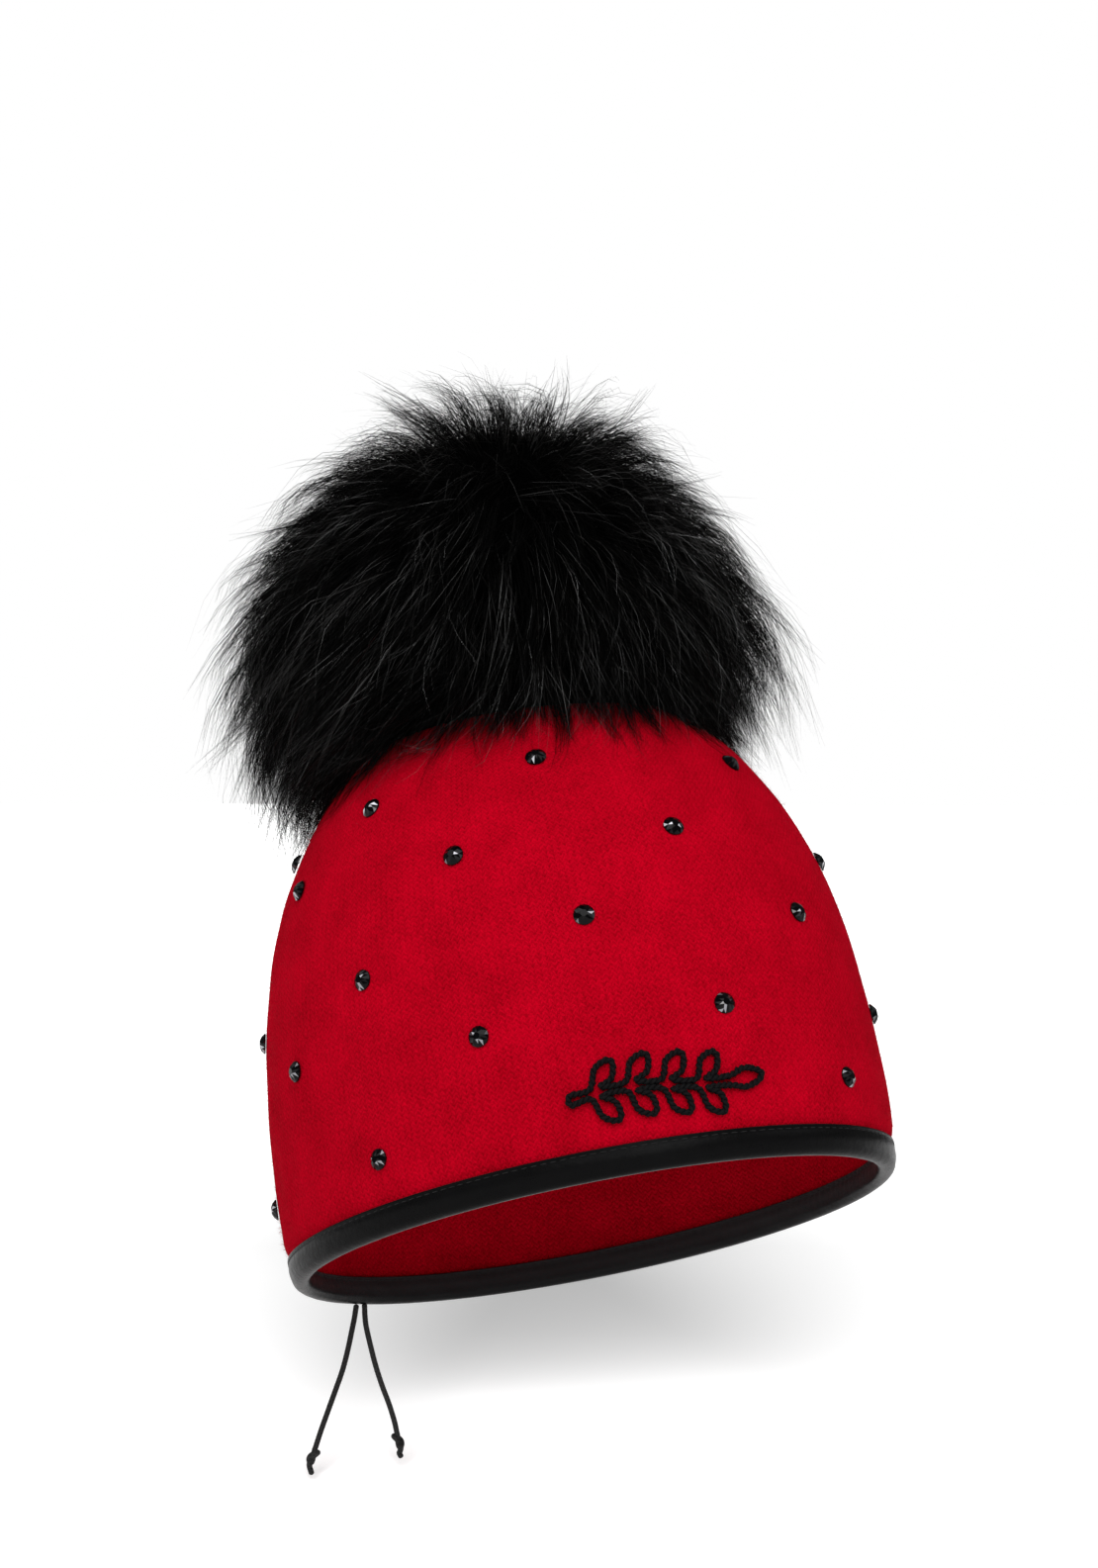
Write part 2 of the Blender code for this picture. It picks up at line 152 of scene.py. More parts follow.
# Route of each cord end from its exit: towards +X, towards +Y, up
CORD_DIAMETER = 0.00175
CORD_SPACING = 0.0038
CORD_BEARING = math.radians(-177.5)
CORD_SIDES = 14
KNOT_DROP = 0.0028
CORD_ROUTES = {
    "left": (
        (0.0, 0.0, 0.0), (-0.0007, 0.0001, -0.0035), (-0.0016, 0.0002, -0.0069), (-0.0033, 0.0004, -0.0131),
        (-0.0055, 0.0006, -0.0194), (-0.0083, 0.0010, -0.0256), (-0.0114, 0.0013, -0.0319),
        (-0.0144, 0.0016, -0.0381), (-0.0166, 0.0019, -0.0433),
    ),
    "right": (
        (0.0, 0.0, 0.0), (0.0002, 0.0000, -0.0035), (0.0007, -0.0001, -0.0069), (0.0025, -0.0003, -0.0131),
        (0.0046, -0.0005, -0.0194), (0.0071, -0.0008, -0.0256), (0.0100, -0.0012, -0.0319),
        (0.0122, -0.0014, -0.0374), (0.0133, -0.0015, -0.0412),
    ),
}

# Camera: level, a little above the hat's middle, looking at the wearer's right front quarter
VIEW_AZIMUTH = math.radians(-48.53)
VIEW_RIGHT = -0.0134
VIEW_UP = 0.1366
VIEW_DISTANCE = 1.6
VIEW_LENS = 120.67

# Studio: half the floor's width, what the lights point at, and the floor light's height angle and softness
FLOOR_REACH = 40.0
LIGHT_FOCUS = Vector((0.0, 0.02, 0.09))
SHADOW_RISE = 10.5
SHADOW_SOFTNESS = math.radians(13)

# Directions in the fur are given by their parts to the right, upwards and towards the camera.
# The whorl is the place that the hair flows away from.
WHORL = (0.09, 0.74, 0.66)
# Tufts of longer hair: direction, extra length in metres, width as one minus the cosine
TUFTS = (
    (-0.15, 0.97, 0.20, 0.015, 0.020),
    (0.40, 0.90, 0.20, 0.009, 0.020),
    (-0.80, 0.58, 0.10, 0.004, 0.040),
    (-0.98, 0.10, 0.10, 0.007, 0.050),
    (-0.93, -0.36, 0.10, 0.012, 0.060),
    (0.72, 0.68, 0.10, 0.007, 0.020),
    (0.90, 0.44, 0.10, 0.008, 0.020),
    (0.97, 0.22, 0.10, 0.011, 0.014),
    (0.99, 0.00, 0.10, 0.003, 0.020),
)


def dome_profile(height, crown_height):
    """Share of the opening's size that the crown has at a height."""
    height = np.asarray(height, dtype=float)
    low = 1 + BULGE * np.sin(np.clip(height, 0, None) / BULGE_HEIGHT * np.pi / 2)
    share = np.clip((height - BULGE_HEIGHT) / (crown_height - BULGE_HEIGHT), 0, 1)
    high = (1 + BULGE) * np.sqrt(1 - share ** DOME_POWER)
    return np.where(height < BULGE_HEIGHT, low, high)


def crown_points(bearing, height, inset=0.0):
    """Points on the crown's outline, moved inwards by inset, in the hat's own axes."""
    bearing, height, inset = np.broadcast_arrays(bearing, height, inset)
    crown_height = CROWN_HEIGHT - inset
    rounding = np.minimum(height / crown_height, 1.0) ** 2
    length = HALF_LENGTH + (HALF_WIDTH - HALF_LENGTH) * rounding
    profile = dome_profile(height, crown_height)
    x = (HALF_WIDTH - inset) * profile * np.sin(bearing)
    y = -(length - inset) * profile * np.cos(bearing) - CROWN_LEAN * height
    return np.stack((x, y, height + 0.0 * x), axis=-1)


def crown_normals(bearing, height):
    """Outward normals of the crown's outline."""
    turn, rise = 0.01, 0.0004
    along = crown_points(bearing + turn, height) - crown_points(bearing - turn, height)
    upwards = crown_points(bearing, height + rise) - crown_points(bearing, height - rise)
    normal = np.cross(along, upwards)
    return normal / np.linalg.norm(normal, axis=-1, keepdims=True)


def tuck(height):
    """How far the crown is drawn in under the binding, easing out above it."""
    share = np.clip((height - BINDING_HEIGHT) / TUCK_HEIGHT, 0, 1)
    return CROWN_TUCK * (1 - share * share * (3 - 2 * share))


def on_head(points):
    """Turns points from the hat's own axes to the part's frame."""
    return np.asarray(points) @ np.array(HAT_AXES.to_3x3()).T


def link(name, data):
    """Puts a mesh, light or camera in the scene as an object."""
    made = bpy.data.objects.new(name, data)
    bpy.context.scene.collection.objects.link(made)
    return made


def turns(count):
    """Even bearings once round."""
    return np.linspace(0, 2 * np.pi, count, endpoint=False)


def arc_length(line):
    """Distance from a line's start to each of its points."""
    return np.concatenate(([0.0], np.cumsum(np.linalg.norm(np.diff(line, axis=0), axis=1))))


def dress(piece, finish, slot, *nodes):
    """Gives a piece its material, and lets it stand for the nodes that it replaces; its slot is not used."""
    if finish is not None:
        piece.data.materials.clear()
        piece.data.materials.append(finish)
    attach(piece, "root")
    if nodes:
        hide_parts(*nodes)
    return piece


def grid_mesh(name, points, uv=None, closed_rows=False):
    """Mesh of quads over rows of points that run round in a ring; the last row joins the first if asked."""
    rows, count = points.shape[:2]
    row = np.arange(rows if closed_rows else rows - 1)[:, None]
    column = np.arange(count)[None, :]
    above, beside = (row + 1) % rows, (column + 1) % count
    corners = (row * count + column, row * count + beside, above * count + beside, above * count + column)
    mesh = bpy.data.meshes.new(name)
    mesh.from_pydata(points.reshape(-1, 3).tolist(), [], np.stack(corners, axis=-1).reshape(-1, 4).tolist())
    if uv is not None:
        u_step, v = uv
        v = np.append(v, 2 * v[-1] - v[-2])
        left = column * u_step + 0.0 * row
        here, there = v[row] + 0.0 * column, v[row + 1] + 0.0 * column
        pairs = np.stack((left, here, left + u_step, here, left + u_step, there, left, there), axis=-1)
        mesh.uv_layers.new(name="cloth").data.foreach_set("uv", pairs.reshape(-1).astype(np.float32))
    mesh.shade_smooth()
    return mesh


def joined(name, meshes):
    """One mesh out of several."""
    work = bmesh.new()
    for mesh in meshes:
        work.from_mesh(mesh)
    result = bpy.data.meshes.new(name)
    work.to_mesh(result)
    work.free()
    for mesh in meshes:
        bpy.data.meshes.remove(mesh)
    return result


def smooth_through(points, step, closed=False):
    """Points about a step apart on a smooth curve through the given points."""
    points = [np.array(p, dtype=float) for p in points]
    if closed:
        padded = [points[-1], *points, points[0], points[1]]
    else:
        padded = [2 * points[0] - points[1], *points, 2 * points[-1] - points[-2]]
    fine = []
    for a, b, c, d in zip(padded, padded[1:], padded[2:], padded[3:]):
        for t in np.arange(16) / 16:
            fine.append(0.5 * (2 * b + (c - a) * t + (2 * a - 5 * b + 4 * c - d) * t ** 2
                               + (3 * b - a - 3 * c + d) * t ** 3))
    fine.append(padded[-2])
    fine = np.array(fine)
    lengths = arc_length(fine)
    stations = np.linspace(0.0, lengths[-1], max(round(lengths[-1] / step), 2) + 1)
    smoothed = np.stack([np.interp(stations, lengths, fine[:, k]) for k in range(3)], axis=1)
    return smoothed[:-1] if closed else smoothed


def frames_along(points, closed=False):
    """Tangents and two steady side directions along a line."""
    if closed:
        tangents = np.roll(points, -1, axis=0) - np.roll(points, 1, axis=0)
    else:
        tangents = np.gradient(points, axis=0)
    tangents /= np.linalg.norm(tangents, axis=1, keepdims=True)
    side = np.cross(tangents[0], (0.0, 1.0, 0.0))
    sides = []
    for tangent in tangents:
        side = side - tangent * side.dot(tangent)
        side = side / np.linalg.norm(side)
        sides.append(side)
    sides = np.array(sides)
    return tangents, sides, np.cross(tangents, sides)


def tube_mesh(name, points, radius, sides, closed=False):
    """Round tube along a line, with domed ends unless it is a closed loop; its UV is in metres."""
    points = np.asarray(points)
    radii = np.broadcast_to(radius, (len(points),)).astype(float)
    tangents, across, up = frames_along(points, closed)
    if not closed:
        def cap(end, away):
            """Centres and radii of the rings of one domed end, from its tip inwards."""
            return [(points[end] + tangents[end] * radii[end] * (1 - share) * away, radii[end] * width)
                    for share, width in ((0.0, 0.05), (0.3, 0.71), (0.7, 0.95))]

        start, end = cap(0, -0.8), cap(-1, 0.8)[::-1]
        index = [0] * len(start) + list(range(len(points))) + [-1] * len(end)
        points = np.array([p for p, _ in start] + list(points) + [p for p, _ in end])
        radii = np.array([r for _, r in start] + list(radii) + [r for _, r in end])
        across, up = across[index], up[index]
    turn = turns(sides)
    ring = across[:, None] * np.cos(turn)[None, :, None] + up[:, None] * np.sin(turn)[None, :, None]
    grid = points[:, None] + ring * radii[:, None, None]
    face_width = 2 * np.pi * float(np.median(radii)) / sides
    mesh = grid_mesh(name, grid, (face_width, arc_length(points)), closed_rows=closed)
    if not closed:
        close_mesh(mesh)
    return mesh


class Wire:
    """A node's output; sums with it add Math or Vector Math nodes to its tree."""

    def __init__(self, graph, socket):
        self.graph = graph
        self.socket = socket

    @property
    def is_vector(self):
        return self.socket.type in {"VECTOR", "ROTATION"}

    def join(self, operation, first, second):
        """One Math node on two numbers, or one Vector Math node where either is a vector."""
        pair = (first, second)
        vectors = [v.is_vector if isinstance(v, Wire) else isinstance(v, (tuple, Vector)) for v in pair]
        if not any(vectors):
            return self.graph.node("ShaderNodeMath", {"operation": operation}, dict(enumerate(pair)))[0]
        if operation == "MULTIPLY" and not all(vectors):
            vector, factor = pair if vectors[0] else reversed(pair)
            sockets = {0: vector, "Scale": factor}
            return self.graph.node("ShaderNodeVectorMath", {"operation": "SCALE"}, sockets)[0]
        pair = [v if flag else self.graph.even(v) for v, flag in zip(pair, vectors)]
        return self.graph.node("ShaderNodeVectorMath", {"operation": operation}, dict(enumerate(pair)))[0]

    def math(self, operation, *others):
        """One Math node on this value."""
        sockets = dict(enumerate((self, *others)))
        return self.graph.node("ShaderNodeMath", {"operation": operation}, sockets)[0]

    def vector(self, operation, other=None, output=0):
        """One Vector Math node on this vector."""
        sockets = {0: self} if other is None else {0: self, 1: other}
        return self.graph.node("ShaderNodeVectorMath", {"operation": operation}, sockets)[output]

    def clamped(self):
        """This value kept between 0 and 1."""
        return self.math("MAXIMUM", 0.0).math("MINIMUM", 1.0)


def sign_methods(operation):
    """What a sign does with a wire on its left, and with one on its right."""
    def ahead(wire, other):
        return wire.join(operation, wire, other)

    def behind(wire, other):
        return wire.join(operation, other, wire)

    return ahead, behind


for sign, meaning in (("add", "ADD"), ("sub", "SUBTRACT"), ("mul", "MULTIPLY"), ("truediv", "DIVIDE"),
                      ("pow", "POWER")):
    for method, function in zip((f"__{sign}__", f"__r{sign}__"), sign_methods(meaning)):
        setattr(Wire, method, function)


def find_socket(sockets, key):
    """A socket by its place, its identifier, or the name of one in use."""
    if isinstance(key, int):
        return sockets[key]
    for socket in sockets:
        if socket.identifier == key:
            return socket
    return next(s for s in sockets if s.name == key and s.enabled)


class Graph:
    """A node tree that is written as expressions."""

    def __init__(self, tree):
        self.tree = tree

    def node(self, kind, settings=None, sockets=None):
        """Adds a node: its settings first, then the values or links of its sockets; gives its outputs."""
        made = self.tree.nodes.new(kind)
        for key, value in (settings or {}).items():
            setattr(made, key, value)
        for key, value in (sockets or {}).items():
            socket = find_socket(made.inputs, key)
            if isinstance(value, Wire):
                self.tree.links.new(value.socket, socket)
            elif socket.type == "RGBA" and len(value) == 3:
                socket.default_value = (*value, 1.0)
            else:
                socket.default_value = value
        return Outputs(self, made)

    def geo(self, kind, sockets=None, output=0, **settings):
        """Adds a Geometry Nodes node and gives one of its outputs."""
        return self.node(f"GeometryNode{kind}", settings, sockets)[output]

    def even(self, value):
        """A vector with the same value three times."""
        if isinstance(value, Wire):
            return self.node("ShaderNodeCombineXYZ", None, {0: value, 1: value, 2: value})[0]
        return (value, value, value)

    def mix(self, factor, first, second, kind="Float", data_type="FLOAT"):
        """Mixes two numbers, or two values of another kind."""
        sockets = {"Factor_Float": factor, f"A_{kind}": first, f"B_{kind}": second}
        return self.node("ShaderNodeMix", {"data_type": data_type}, sockets)[f"Result_{kind}"]

    def mix_vector(self, factor, first, second):
        """Mixes two vectors."""
        return self.mix(factor, first, second, "Vector", "VECTOR")

    def mix_colour(self, factor, first, second):
        """Mixes two colours."""
        return self.mix(factor, first, second, "Color", "RGBA")

    def noise(self, place, scale, detail=2.0, roughness=0.5):
        """Noise about 0.5 at a place, with a scale in features a metre."""
        sockets = {"Vector": place, "Scale": scale, "Detail": detail, "Roughness": roughness}
        return self.node("ShaderNodeTexNoise", None, sockets)[0]

    def attribute(self, name):
        """A value that the mesh keeps under a name."""
        return self.node("ShaderNodeAttribute", {"attribute_name": name})["Fac"]

    def cloth(self):
        """The parts of the piece's own UV, in metres."""
        uv = self.node("ShaderNodeUVMap", {"uv_map": "cloth"})["UV"]
        return self.node("ShaderNodeSeparateXYZ", None, {0: uv})


class Outputs:
    """A node's outputs as wires, by place, name or identifier."""

    def __init__(self, graph, made):
        self.graph = graph
        self.made = made

    def __getitem__(self, key):
        return Wire(self.graph, find_socket(self.made.outputs, key))


def toned(colour_parts, factor):
    """A colour times one factor, or one for each part."""
    return tuple(np.multiply(colour_parts, factor).tolist())


def finish_material(name, constants):
    """A Principled material: its graph, its object coordinates and a function that feeds and gives it."""
    made = bpy.data.materials.new(name)
    made.use_nodes = True
    graph = Graph(made.node_tree)
    shader = made.node_tree.nodes["Principled BSDF"]
    for key, value in constants.items():
        shader.inputs[key].default_value = (*value, 1.0) if shader.inputs[key].type == "RGBA" else value

    def feed(**links):
        for key, wire in links.items():
            made.node_tree.links.new(wire.socket, shader.inputs[key.replace("_", " ")])
        return made

    return graph, graph.node("ShaderNodeTexCoord")["Object"], feed


def bump(graph, height, distance, under=None):
    """A Bump node that raises the surface by a height from 0 to 1 times a distance."""
    sockets = {"Height": height, "Distance": distance, "Strength": 1.0}
    if under is not None:
        sockets["Normal"] = under
    return graph.node("ShaderNodeBump", None, sockets)["Normal"]


def milled_wool(name, red, wale, course):
    """Milled knit: faint columns of V stitches under a felted nap, with painted shade in the gaps between
    stitches.
    """
    graph, place, feed = finish_material(name, {
        "Roughness": 0.95, "Specular IOR Level": 0.01, "Sheen Weight": 0.04, "Sheen Roughness": 0.5,
        "Sheen Tint": (1.0, 0.01, 0.05),
    })
    parts = graph.cloth()
    wobble = graph.noise(place, 260.0) - 0.5
    leg = ((parts[0] / wale + wobble * 0.35).math("FRACT") - 0.5).math("ABSOLUTE") * 2.0
    turn = (parts[1] / course + leg * 0.8 + wobble * 0.5) * (2 * math.pi)
    stitch = turn.math("COSINE") * 0.5 + 0.5
    yarn = stitch * 0.65 + (1.0 - leg ** 4.0) * 0.35
    felt = graph.noise(place, 900.0, 3.0, 0.6)
    fibre = graph.noise(place, 3600.0, 2.0, 0.6)
    patch = graph.noise(place, 70.0)
    # The colour mixes random felt, patch and fibre tone with painted shade in the gaps between stitches,
    # where the yarn pattern is low.
    stitch_shade_and_tone = (yarn * 0.55 + felt * 1.3 + patch * 0.8 + fibre * 0.4 - 1.02).clamped()
    tones = toned(red, (0.58, 0.5, 0.45)), toned(red, (1.25, 1.3, 1.35))
    relief = yarn * 0.30 + felt * 0.55 + fibre * 0.25
    return feed(Base_Color=graph.mix_colour(stitch_shade_and_tone, *tones), Normal=bump(graph, relief, 0.0007))


def nappa_leather(name, black):
    """Soft smooth leather with a fine grain and small creases, and painted light on its inner side."""
    graph, place, feed = finish_material(name, {"Specular IOR Level": 1.0, "IOR": 1.08})
    cells = {"Vector": place, "Scale": 1500.0}
    grain = graph.node("ShaderNodeTexVoronoi", {"feature": "DISTANCE_TO_EDGE"}, cells)[0]
    pebble = (grain * 3.0).clamped()
    cloud = graph.noise(place, 160.0, 3.0)
    crease = graph.noise(place, 420.0, 4.0, 0.6)
    outer_tone = graph.mix_colour(cloud, black, toned(black, 1.6))
    return feed(
        # Painted light: the inner side is given a colour ten times lighter than the black.
        Base_Color=graph.mix_colour(graph.attribute("inner_painted_light"), outer_tone, toned(black, 10.0)),
        Roughness=0.22 + cloud * 0.10 + (1.0 - pebble) * 0.06,
        Normal=bump(graph, pebble, 0.00002, under=bump(graph, crease, 0.00016)),
    )


def dyed_fur(name, black, tip, gloss, roughness):
    """Dyed hair: nearly black, with a lighter and browner hair here and there."""
    graph, _, feed = finish_material(name, {"Specular IOR Level": gloss})
    tone = graph.attribute("hair_tone")
    return feed(Base_Color=graph.mix_colour(tone ** 4.0, black, tip), Roughness=roughness + tone * 0.15)


def black_crystal(name, black):
    """Cut glass with a dark foil behind it."""
    graph, place, feed = finish_material(name, {"Specular IOR Level": 0.10, "IOR": 1.55})
    haze = graph.noise(place, 500.0)
    foil = graph.attribute("foil")
    glass = graph.mix_colour(haze, black, toned(black, 2.0))
    return feed(Base_Color=graph.mix_colour(foil, glass, (0.3, 0.3, 0.32)), Metallic=foil,
                Roughness=0.02 + haze * 0.04)


def spun_yarn(name, black, gloss):
    """Twisted yarn with fine fibres."""
    graph, place, feed = finish_material(name, {
        "Specular IOR Level": 0.06, "Sheen Weight": 0.005, "Sheen Roughness": 0.4,
    })
    fibre = graph.noise(place, 2600.0, 3.0, 0.6)
    return feed(Base_Color=graph.mix_colour(fibre, black, toned(black, 2.2)), Roughness=gloss + fibre * 0.2,
                Normal=bump(graph, fibre, 0.00012))


def braided_elastic(name, black, carriers, stitch):
    """Round braid: two sets of crossing strands, with painted shade in the grooves between them, from the
    piece's own UV.
    """
    graph, place, feed = finish_material(name, {"Specular IOR Level": 0.10, "Sheen Weight": 0.005})
    parts = graph.cloth()
    turn = parts[0] / (math.pi * CORD_DIAMETER) * carriers
    rise = parts[1] / stitch
    one = ((turn + rise) * (2 * math.pi)).math("SINE")
    other = ((turn - rise) * (2 * math.pi)).math("SINE")
    braid = one.math("MAXIMUM", other) * 0.5 + 0.5
    fibre = graph.noise(place, 3000.0)
    # The colour darkens in the grooves between the strands: painted shade, from the same braid pattern that
    # sets the bump.
    return feed(Base_Color=graph.mix_colour(braid, black, toned(black, 2.0)), Roughness=0.75 - braid * 0.2,
                Normal=bump(graph, braid * 0.8 + fibre * 0.2, 0.00016))


def node_group(name, inputs):
    """A Geometry Nodes tree with a mesh in and out and named inputs, each with its number or its kind."""
    tree = bpy.data.node_groups.new(name, "GeometryNodeTree")
    for way in ("INPUT", "OUTPUT"):
        tree.interface.new_socket("Geometry", in_out=way, socket_type="NodeSocketGeometry")
    for label, default in inputs.items():
        kind = default if isinstance(default, str) else type(default).__name__.capitalize()
        socket = tree.interface.new_socket(label, in_out="INPUT", socket_type=f"NodeSocket{kind}")
        if kind != default:
            socket.default_value = default
    graph = Graph(tree)
    return graph, graph.node("NodeGroupInput")


def end_group(graph, geometry, material):
    """Realizes the instances, sets the material and closes the tree."""
    real = graph.geo("RealizeInstances", {0: geometry})
    shaded = graph.geo("SetMaterial", {"Geometry": real, "Material": material})
    graph.node("NodeGroupOutput", None, {0: shaded})


WORKING_VALUES = {"root", "bend", "end", "girth", "roll", "tip", "middle", "side", "id"}


def grow(name, source, graph, slot, values, *nodes):
    """Runs a tree on an object, keeps the result as a plain mesh in a piece, and removes the object."""
    modifier = source.modifiers.new(name, "NODES")
    modifier.node_group = graph.tree
    for item in graph.tree.interface.items_tree:
        if item.item_type == "SOCKET" and item.in_out == "INPUT" and item.name in values:
            modifier[item.identifier] = values[item.name]
    depsgraph = bpy.context.evaluated_depsgraph_get()
    mesh = bpy.data.meshes.new_from_object(source.evaluated_get(depsgraph), depsgraph=depsgraph)
    mesh.name = name
    for kept in [a.name for a in mesh.attributes if a.name in WORKING_VALUES]:
        mesh.attributes.remove(mesh.attributes[kept])
    source.modifiers.remove(modifier)
    if not len(mesh.polygons):
        raise RuntimeError(f"{name}: nothing grew")
    drop(source)
    return dress(link(name, mesh), None, slot, *nodes)


def stored(graph, geometry, name, value, kind="FLOAT_VECTOR"):
    """Keeps a value on the geometry's points under a name."""
    sockets = {"Geometry": geometry, "Name": name, "Value": value}
    return graph.geo("StoreNamedAttribute", sockets, data_type=kind, domain="POINT")


def named(graph, name, kind="FLOAT_VECTOR"):
    """Reads a kept value."""
    return graph.geo("InputNamedAttribute", {"Name": name}, "Attribute", data_type=kind)


def random_number(graph, low, high, seed):
    """One number a point between two bounds."""
    sockets = {"Min_001": low, "Max_001": high, "Seed": seed}
    return graph.node("FunctionNodeRandomValue", {"data_type": "FLOAT"}, sockets)["Value_001"]


def random_vector(graph, spread, seed):
    """One vector a point, each part between minus and plus spread."""
    sockets = {"Min": (-1.0, -1.0, -1.0), "Max": (1.0, 1.0, 1.0), "Seed": seed}
    return graph.node("FunctionNodeRandomValue", {"data_type": "FLOAT_VECTOR"}, sockets)["Value"] * spread


def strand_tree(points_a_strand):
    """Hair that leaves a surface by its kept middle and tip offsets, drawn into locks and held off a form."""
    graph, given = node_group("hair_strands", {
        "Density": 100000.0, "Lock Spacing": 0.009, "Lock Spread": 0.005, "Lock Pull": 0.7, "Stray": 0.002,
        "Curl": 0.0, "Shortest": 0.8, "Longest": 1.1, "Girth": 0.0001, "Form": "Object", "Clear": 0.0006,
        "Seed": 1, "Material": "Material",
    })
    geo, surface, seed = graph.geo, given["Geometry"], given["Seed"]
    roots = geo("DistributePointsOnFaces", {
        "Mesh": surface, "Density": given["Density"], "Seed": seed,
    }, "Points", distribute_method="RANDOM")
    locks = geo("DistributePointsOnFaces", {
        "Mesh": surface, "Distance Min": given["Lock Spacing"], "Density Max": 1000000.0, "Seed": seed + 7,
    }, "Points", distribute_method="POISSON")
    place = geo("InputPosition")
    middle, tip = named(graph, "middle"), named(graph, "tip")
    lock_scale = random_number(graph, 0.88, 1.25, seed + 11)
    lock_tip = place + tip * lock_scale + random_vector(graph, given["Lock Spread"], seed + 12)
    locks = stored(graph, locks, "lock_tip", lock_tip)
    locks = stored(graph, locks, "lock_curl", random_vector(graph, given["Curl"], seed + 13))
    nearest = geo("SampleNearest", {"Geometry": locks, "Sample Position": place}, domain="POINT")
    drawn, curl = (geo("SampleIndex", {
        "Geometry": locks, "Value": named(graph, key), "Index": nearest,
    }, data_type="FLOAT_VECTOR", domain="POINT") for key in ("lock_tip", "lock_curl"))
    scale = random_number(graph, given["Shortest"], given["Longest"], seed + 1)
    stray = random_vector(graph, given["Stray"], seed + 2)
    own_tip = place + tip * scale
    end = graph.mix_vector(given["Lock Pull"], own_tip, place + (drawn - place) * scale) + stray
    bend = graph.mix_vector(given["Lock Pull"] * 0.35, place + middle * scale, place + (drawn - place) * 0.5)
    bend = bend + curl + random_vector(graph, given["Stray"] * 0.7, seed + 3)
    for key, value in (("root", place), ("bend", bend), ("end", end)):
        roots = stored(graph, roots, key, value)
    for key, value in (("girth", random_number(graph, 0.7, 1.3, seed + 4) * given["Girth"]),
                       ("hair_tone", random_number(graph, 0.0, 1.0, seed + 6)),
                       ("roll", random_number(graph, 0.0, 6.283, seed + 5))):
        roots = stored(graph, roots, key, value, "FLOAT")
    line = geo("CurvePrimitiveLine", {"End": (0.0, 0.0, 1.0)})
    line = geo("ResampleCurve", {"Curve": line, "Count": points_a_strand})
    strands = geo("RealizeInstances", {0: geo("InstanceOnPoints", {"Points": roots, "Instance": line})})
    along = geo("SplineParameter", output="Factor")
    back = 1.0 - along
    at = (named(graph, "root") * (back * back) + named(graph, "bend") * (back * along * 2.0)
          + named(graph, "end") * (along * along))
    strands = geo("SetPosition", {"Geometry": strands, "Position": at})
    form = geo("ObjectInfo", {"Object": given["Form"]}, "Geometry", transform_space="RELATIVE")
    near = geo("Proximity", {"Target": form}, "Position", target_element="FACES")
    outwards = geo("SampleNearestSurface", {
        "Mesh": form, "Value": geo("InputNormal"),
    }, "Value", data_type="FLOAT_VECTOR")
    depth = (place - near).vector("DOT_PRODUCT", outwards, "Value")
    lift = (given["Clear"] - depth).math("MAXIMUM", 0.0)
    strands = geo("SetPosition", {"Geometry": strands, "Offset": outwards * lift})
    taper = (1.0 - along ** 3.0 * 0.85) * named(graph, "girth", "FLOAT")
    strands = geo("SetCurveTilt", {"Curve": strands, "Tilt": named(graph, "roll", "FLOAT")})
    blade = geo("CurvePrimitiveLine", {"Start": (-1.0, 0.0, 0.0), "End": (1.0, 0.0, 0.0)})
    hair = geo("CurveToMesh", {"Curve": strands, "Profile Curve": blade, "Scale": taper})
    end_group(graph, geo("SetShadeSmooth", {"Geometry": hair}), given["Material"])
    return graph


def aligned(graph, axis, sockets, **settings):
    """A rotation that turns an axis to a vector."""
    return graph.node("FunctionNodeAlignRotationToVector", {"axis": axis, **settings}, sockets)[0]


def set_copies(graph, given, points, turn, angle):
    """Ends a tree with copies of the given shape on points, turned and then spun about their own Z."""
    spin = graph.node("FunctionNodeAxisAngleToRotation", None, {"Axis": (0.0, 0.0, 1.0), "Angle": angle})[0]
    turn = graph.node("FunctionNodeRotateRotation", {"rotation_space": "LOCAL"}, {0: turn, 1: spin})[0]
    shape = graph.geo("ObjectInfo", {"Object": given["Shape"]}, "Geometry", transform_space="ORIGINAL")
    copies = graph.geo("InstanceOnPoints", {"Points": points, "Instance": shape, "Rotation": turn})
    end_group(graph, copies, given["Material"])
    return graph


def repeat_tree():
    """Copies of one object at even steps along a line, their X along it and their Z to its kept side."""
    graph, given = node_group("repeat_on_line", {
        "Pitch": 0.003, "Shape": "Object", "Slant": 0.0, "Uneven": 0.04, "Seed": 1, "Material": "Material",
    })
    line = graph.geo("MeshToCurve", {0: given["Geometry"]})
    line = graph.geo("ResampleCurve", {"Curve": line, "Length": given["Pitch"]}, mode="LENGTH")
    turn = aligned(graph, "X", {"Vector": graph.geo("InputTangent")})
    turn = aligned(graph, "Z", {"Rotation": turn, "Vector": named(graph, "side")}, pivot_axis="X")
    angle = given["Slant"] + random_number(graph, -1.0, 1.0, given["Seed"]) * given["Uneven"]
    return set_copies(graph, given, line, turn, angle)


def gem_tree():
    """One gem at each vertex, seated square on its kept normal and turned at random about it."""
    graph, given = node_group("gems_on_points", {
        "Shape": "Object", "Seed": 1, "Material": "Material",
    })
    angle = random_number(graph, 0.0, 2 * math.pi, given["Seed"])
    points = graph.geo("MeshToPoints", {0: given["Geometry"]})
    turn = aligned(graph, "Z", {"Vector": named(graph, "side")})
    return set_copies(graph, given, points, turn, angle)


def line_object(name, points, sides, closed=True):
    """A helper line of edges that keeps a side direction at each vertex."""
    count = len(points)
    edges = [(i, (i + 1) % count) for i in range(count if closed else count - 1)]
    mesh = bpy.data.meshes.new(name)
    mesh.from_pydata(points.tolist(), edges, [])
    keep(mesh, "side", sides)
    return link(name, mesh)


def drop(*helpers):
    """Removes helper objects with their meshes."""
    for helper in helpers:
        mesh = helper.data
        bpy.data.objects.remove(helper, do_unlink=True)
        bpy.data.meshes.remove(mesh)


